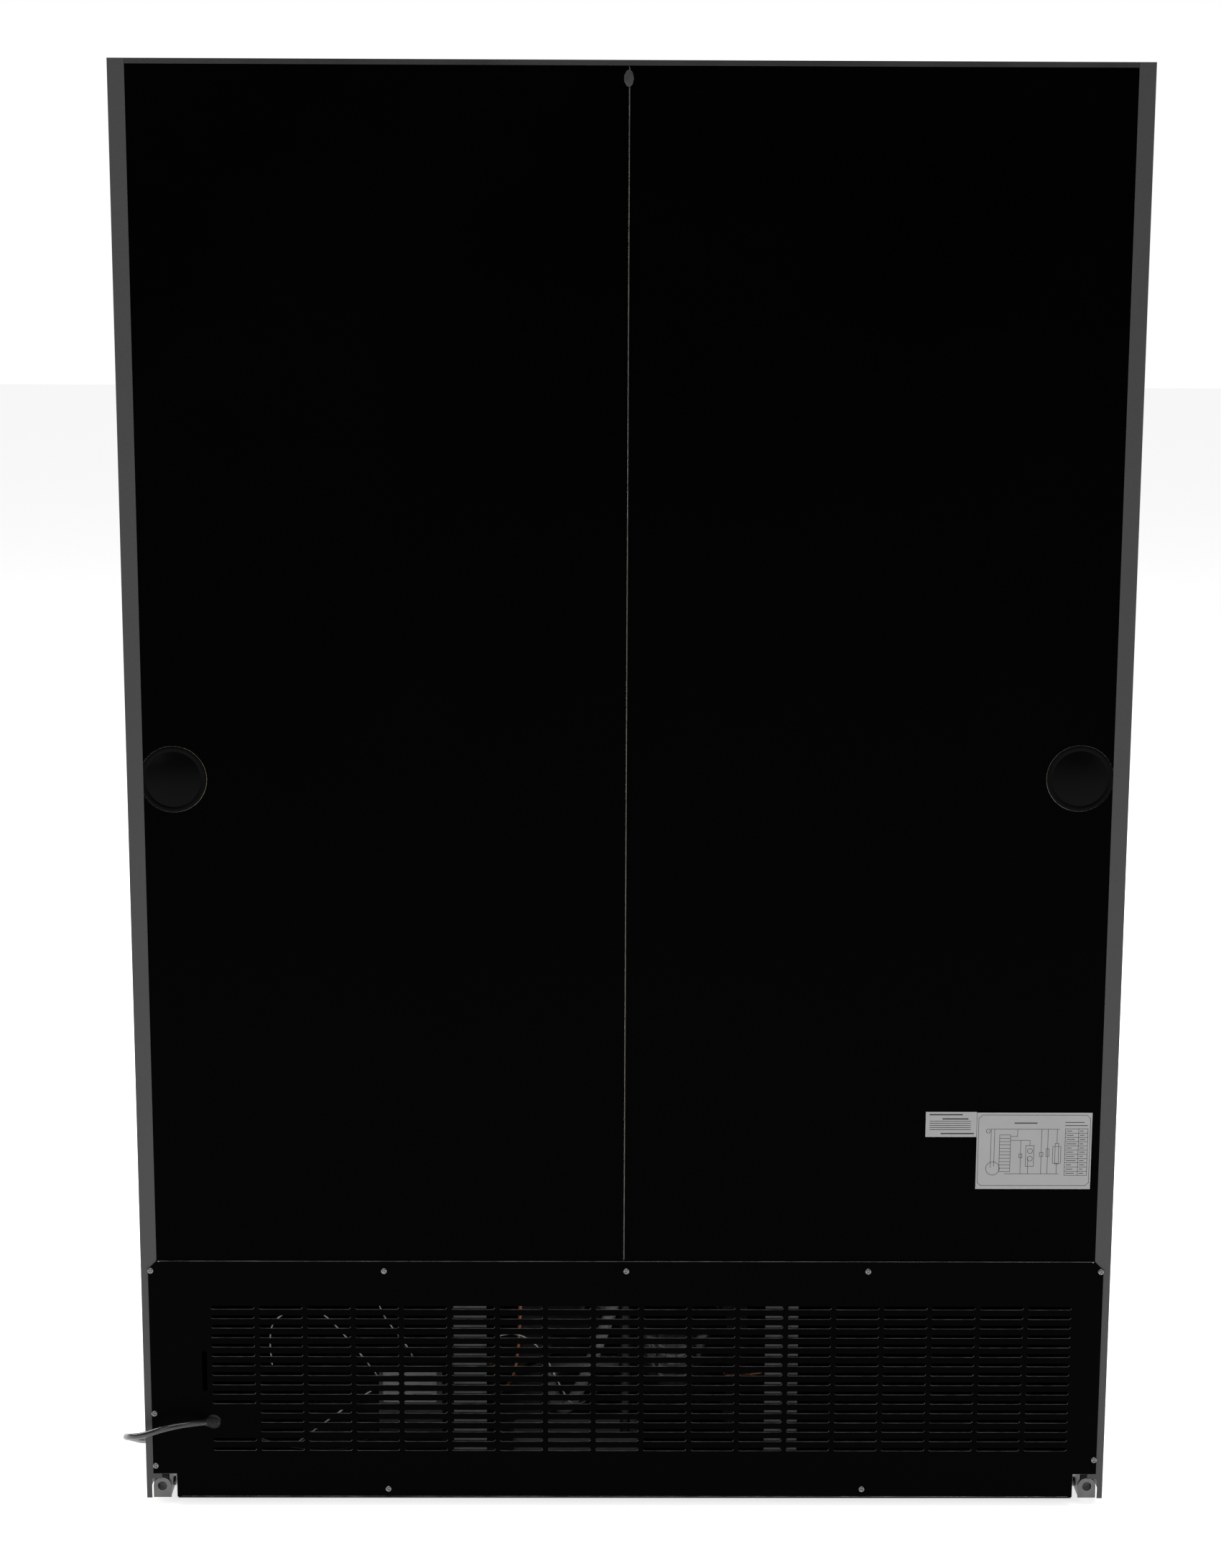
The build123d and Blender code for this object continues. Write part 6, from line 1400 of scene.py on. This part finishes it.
class MERCH_OT_cooling(bpy.types.Operator):
    """Builds the ceiling cooler: fins, fans, guards, knob and switch"""

    bl_idname = "merch.cooling"
    bl_label = "Ceiling cooler"

    def execute(self, context):
        paint("evaporator_housing", "liner")
        paint("evaporator_motors", "motor")
        low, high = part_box("evaporator_coil")
        pitch = sizes().fin_pitch * 1.5
        bm = bmesh.new()
        add_box(bm, (-0.00014, low.y + 0.006, low.z + 0.0145),
                (0.00014, high.y - 0.006, high.z - 0.008))
        count = int((high.x - low.x - 0.008) / pitch)
        rows_of("evaporator_fins", bm, count, 1, (low.x + 0.005, 0, 0), (pitch, 0, 0), (0, 0, 0),
                "fins", stands_for=["evaporator_coil"], slot="fin_aluminium", smooth=False)
        bm = bmesh.new()
        for x in (low.x + 0.001, high.x - 0.001):
            add_box(bm, (x - 0.001, low.y, low.z), (x + 0.001, high.y, high.z), 0.0004, 1)
        for row in range(5):
            for y in (low.y + 0.026, (low.y + high.y) / 2, high.y - 0.026):
                z = low.z + 0.032 + row * 0.034
                add_tube(bm, [(low.x - 0.004, y, z), (high.x + 0.004, y, z)], 0.0045, 12)
        make("evaporator_tubes", bm, "copper")

        for side, x in (("left", -COOLER_FAN_X), ("right", COOLER_FAN_X)):
            bm = bmesh.new()
            add_fan(bm, (x, 0.080, COOLER_Z), 0.0725, 0.017, 0.00305, 0.014, 5, 1.0)
            make(f"evaporator_blades_{side}", bm, "black plastic",
                 body=f"evaporator_fan_wheel_{side}",
                 stands_for=[f"evaporator_fan_{side}"])
        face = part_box("evaporator_housing")[0].y
        bm = bmesh.new()
        for x in (-COOLER_FAN_X, COOLER_FAN_X):
            add_guard(bm, (x, face - 0.003, COOLER_Z), 0.080, sizes().guard_rings, 0.0018)
        make("evaporator_guards", bm, "wire")

        paint("thermostat_knob", "knob")
        paint("light_switch", "knob")
        bm = bmesh.new()
        for step in range(8):
            angle = math.radians(90 + 140 - 40 * step)
            start, end = (
                (KNOB_X + reach * math.cos(angle), COOLER_Z + reach * math.sin(angle))
                for reach in (0.0185, 0.0225 + 0.0006 * step)
            )
            add_line(bm, start, end, 0.0009, face - 0.00012)
        make("dial_marks", bm, "ink", smooth=False, doubles=False)
        bm = bmesh.new()
        low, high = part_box("light_switch")
        outer = (low.x - 0.004, high.x + 0.004, COOLER_Z - 0.014, COOLER_Z + 0.014)
        inner = (low.x - 0.0002, high.x + 0.0002, COOLER_Z - 0.0098, COOLER_Z + 0.0098)
        y0, y1 = face - 0.0018, face
        add_box(bm, (outer[0], y0, inner[3]), (outer[1], y1, outer[3]), 0.0004, 1)
        add_box(bm, (outer[0], y0, outer[2]), (outer[1], y1, inner[2]), 0.0004, 1)
        add_box(bm, (outer[0], y0, inner[2]), (inner[0], y1, inner[3]), 0.0004, 1)
        add_box(bm, (inner[1], y0, inner[2]), (outer[1], y1, inner[3]), 0.0004, 1)
        make("switch_bezel", bm, "black plastic", doubles=False)
        return {"FINISHED"}


# ---------------------------------------------------------------- inside
class MERCH_OT_interior(bpy.types.Operator):
    """Finishes the liner, the face frame and the lights, and slots the pilasters"""

    bl_idname = "merch.interior"
    bl_label = "Interior"

    def execute(self, context):
        for node, name in (
            ("insulation", "foam"), ("liner", "liner"), ("face_frame", "face"),
            ("mullion", "face"), ("light_bars", "lamp"), ("shelf_clips", "zinc"),
        ):
            paint(node, name)
        low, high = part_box("shelf_pilasters")
        pitch = sizes().pilaster_pitch
        count = int((high.z - low.z) / pitch)
        narrow, broad, depth = 0.0075, 0.010, 0.008
        pilasters = [
            (broad, Vector((x, high.y - depth, 0)), Vector((1, 0, 0)), Vector((0, 1, 0)))
            for x in (-0.560, -0.070, 0.070, 0.560)
        ]
        for sign in (-1, 1):
            pilasters += [
                (broad, Vector((sign * (high.x - depth), -0.190, 0)), Vector((0, 1, 0)),
                 Vector((sign, 0, 0))),
                (narrow, Vector((sign * 0.022, low.y + depth, 0)), Vector((1, 0, 0)),
                 Vector((0, -1, 0))),
            ]
        wall = 0.0012
        hole, hole_low, hole_high = 0.0028, 0.006, 0.019
        for index, (half, place, across, inward) in enumerate(pilasters):
            cell = bmesh.new()
            for a0, a1, z0, z1, d0, d1 in (
                (-half, -hole, 0, pitch, 0, wall),
                (hole, half, 0, pitch, 0, wall),
                (-hole, hole, 0, hole_low, 0, wall),
                (-hole, hole, hole_high, pitch, 0, wall),
                (-half, -half + wall, 0, pitch, wall, depth),
                (half - wall, half, 0, pitch, wall, depth),
            ):
                one = place + across * a0 + inward * d0 + Vector((0, 0, z0))
                other = place + across * a1 + inward * d1 + Vector((0, 0, z1))
                pairs = list(zip(one, other))
                add_box(cell, [min(pair) for pair in pairs], [max(pair) for pair in pairs])
            rows_of(f"pilaster_{index + 1}", cell, count, 1, (0, 0, low.z), (0, 0, pitch),
                    (0, 0, 0), "rail", slot="rail_aluminium", smooth=False,
                    stands_for=() if index else ["shelf_pilasters"])
        return {"FINISHED"}


# ---------------------------------------------------------------- shelves
class MERCH_OT_shelves(bpy.types.Operator):
    """Welds the wire shelves: rim, cross rods and long wires whose ends bend down into the rim"""

    bl_idname = "merch.shelves"
    bl_label = "Wire shelves"

    def execute(self, context):
        rim, wire = sizes().shelf_rim / 2, sizes().shelf_wire / 2
        for side in ("left", "right"):
            low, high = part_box(f"shelves_{side}")
            levels = 4
            step = (high.z - low.z - 0.0085) / (levels - 1)
            bm = bmesh.new()
            corners = [(low.x + rim, low.y + rim), (high.x - rim, low.y + rim),
                       (high.x - rim, high.y - rim), (low.x + rim, high.y - rim)]
            loop = corners[-1:] + corners
            for a, b in zip(loop, loop[1:]):
                add_tube(bm, [(*a, rim), (*b, rim)], rim, 12)
            for x, y in corners:
                bmesh.ops.create_icosphere(
                    bm, subdivisions=2, radius=rim, matrix=Matrix.Translation((x, y, rim))
                )
            for share in (1 / 3, 2 / 3):
                y = low.y + share * (high.y - low.y)
                add_tube(bm, [(low.x + rim, y, rim), (high.x - rim, y, rim)], rim, 12)
            rows_of(f"shelf_rims_{side}", bm, levels, 1, (0, 0, low.z), (0, 0, step), (0, 0, 0),
                    "wire", slot="white_wire", stands_for=[f"shelves_{side}"])
            bm = bmesh.new()
            z = 2 * rim + wire * 0.6
            add_tube(bm, [(0, low.y + 0.001, z - 0.0035), (0, low.y + 0.004, z),
                          (0, high.y - 0.004, z), (0, high.y - 0.001, z - 0.0035)], wire, 8)
            count = 23
            pitch = (high.x - low.x) / (count + 1)
            rows_of(f"shelf_wires_{side}", bm, count, levels, (low.x + pitch, 0, low.z),
                    (pitch, 0, 0), (0, 0, step), "wire", slot="white_wire")
        return {"FINISHED"}


# ---------------------------------------------------------------- doors
def add_ring(bm, inner, outer, profile):
    """Sweeps a closed profile, (inset share, y) pairs, round an upright rectangle."""
    rings = []
    for share, y in profile:
        x0, x1, z0, z1 = [i + (o - i) * share for i, o in zip(inner, outer)]
        rings.append([bm.verts.new(p) for p in
                      ((x0, y, z0), (x1, y, z0), (x1, y, z1), (x0, y, z1))])
    for here, there in zip(rings, rings[1:] + rings[:1]):
        bridge(bm, here, there)


class MERCH_OT_doors(bpy.types.Operator):
    """Finishes the doors: frames, glass, gaskets, handles and hinges"""

    bl_idname = "merch.doors"
    bl_label = "Doors"

    def execute(self, context):
        for side in ("left", "right"):
            body = f"door_{side}"
            paint(f"door_frame_{side}", "anodised")
            paint(f"door_handle_{side}", "anodised")
            low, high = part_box(f"door_glass_{side}")
            pane = 0.004
            bm = bmesh.new()
            for y in (low.y, high.y - pane):
                add_box(bm, (low.x, y, low.z), (high.x, y + pane, high.z), 0.0004, 1)
            make(f"glass_panes_{side}", bm, "glass", body=body,
                 stands_for=[f"door_glass_{side}"])
            bm = bmesh.new()
            outer = (low.x + 0.002, high.x - 0.002, low.z + 0.002, high.z - 0.002)
            inner = (low.x + 0.014, high.x - 0.014, low.z + 0.014, high.z - 0.014)
            y0, y1 = low.y + pane + 0.0001, high.y - pane - 0.0001
            add_ring(bm, inner, outer, [(0, y0), (1, y0), (1, y1), (0, y1)])
            make(f"glass_spacer_{side}", bm, "spacer", body=body,
                 smooth=False)
            low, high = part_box(f"door_gasket_{side}")
            width = 0.016
            outer = (low.x, high.x, low.z, high.z)
            inner = (low.x + width, high.x - width, low.z + width, high.z - width)
            y0, y1 = low.y, high.y
            deep = y1 - y0
            profile = [(0.0, y0), (1.0, y0), (1.0, y0 + 0.12 * deep), (0.86, y0 + 0.2 * deep),
                       (0.86, y0 + 0.3 * deep), (1.0, y0 + 0.42 * deep), (1.0, y0 + 0.5 * deep),
                       (0.86, y0 + 0.6 * deep), (0.88, y0 + 0.7 * deep), (0.96, y0 + 0.85 * deep),
                       (0.90, y1), (0.10, y1), (0.04, y0 + 0.85 * deep),
                       (0.12, y0 + 0.7 * deep), (0.14, y0 + 0.6 * deep), (0.0, y0 + 0.5 * deep),
                       (0.0, y0 + 0.42 * deep), (0.14, y0 + 0.3 * deep),
                       (0.14, y0 + 0.2 * deep), (0.0, y0 + 0.12 * deep)]
            bm = bmesh.new()
            add_ring(bm, inner, outer, profile)
            make(f"bellows_gasket_{side}", bm, "rubber", body=body,
                 stands_for=[f"door_gasket_{side}"], smooth=False)
        paint("hinge_brackets", "zinc")
        return {"FINISHED"}


# ---------------------------------------------------------------- header and grille
class MERCH_OT_header(bpy.types.Operator):
    """Finishes the lit header and the front grille, and sets a black pleated sheet behind the grille
    as painted shade
    """

    bl_idname = "merch.header"
    bl_label = "Header and front grille"

    def execute(self, context):
        paint("light_box", "header")
        paint("sign_panel", "sign")
        paint("front_grille", "louvre")
        # A black pleated sheet behind the front grille keeps light out of the machine compartment: a
        # dark sheet put in as painted shade
        low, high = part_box("front_grille")
        pitch, deep = 0.009, 0.004
        pleats = int((high.x - low.x - 0.08) / pitch)
        start = -pleats * pitch / 2
        front = [(start + step * pitch / 2, high.y + 0.0006 + deep * (step % 2))
                 for step in range(2 * pleats + 1)]
        back = [(x, y + 0.0012) for x, y in reversed(front)]
        bm = bmesh.new()
        add_prism(bm, front + back, low.z + 0.040, high.z - 0.004, "Z")
        make("dust_filter", bm, "rubber", smooth=False)
        return {"FINISHED"}


# ---------------------------------------------------------------- panel and registration
OPERATORS = (
    MERCH_OT_stage, MERCH_OT_cord, MERCH_OT_skins, MERCH_OT_louvres, MERCH_OT_screws,
    MERCH_OT_labels, MERCH_OT_base, MERCH_OT_machinery, MERCH_OT_cooling, MERCH_OT_interior,
    MERCH_OT_shelves, MERCH_OT_doors, MERCH_OT_header,
)
SETTINGS = (
    (CabinetColours, "cabinet_colours"),
    (CabinetSizes, "cabinet_sizes"),
    (StageSettings, "stage_settings"),
)


class MERCH_PT_panel(bpy.types.Panel):
    """Lists the cabinet's makers and their settings"""

    bl_idname = "MERCH_PT_panel"
    bl_label = "Glass door merchandiser"
    bl_space_type = "VIEW_3D"
    bl_region_type = "UI"
    bl_category = "Merchandiser"

    def draw(self, context):
        for operator in OPERATORS:
            self.layout.operator(operator.bl_idname)
        for group, name in SETTINGS:
            box = self.layout.box()
            for key in group.__annotations__:
                box.prop(getattr(context.scene, name), key)


def register():
    """Registers the settings, the operators and the panel."""
    for group, name in SETTINGS:
        bpy.utils.register_class(group)
        setattr(bpy.types.Scene, name, PointerProperty(type=group))
    for kind in (*OPERATORS, MERCH_PT_panel):
        bpy.utils.register_class(kind)


def unregister():
    """Removes everything that register added."""
    for kind in reversed((*OPERATORS, MERCH_PT_panel)):
        bpy.utils.unregister_class(kind)
    for group, name in reversed(SETTINGS):
        delattr(bpy.types.Scene, name)
        bpy.utils.unregister_class(group)


def main():
    """Makes every piece in order."""
    register()
    PAINT.update(paints())
    PAINT["hose"] = braided("hose braid", colours().hose, 420.0, 9.0)
    for operator in OPERATORS:
        family, name = operator.bl_idname.split(".")
        getattr(getattr(bpy.ops, family), name)()


if __name__ == "__main__":
    main()
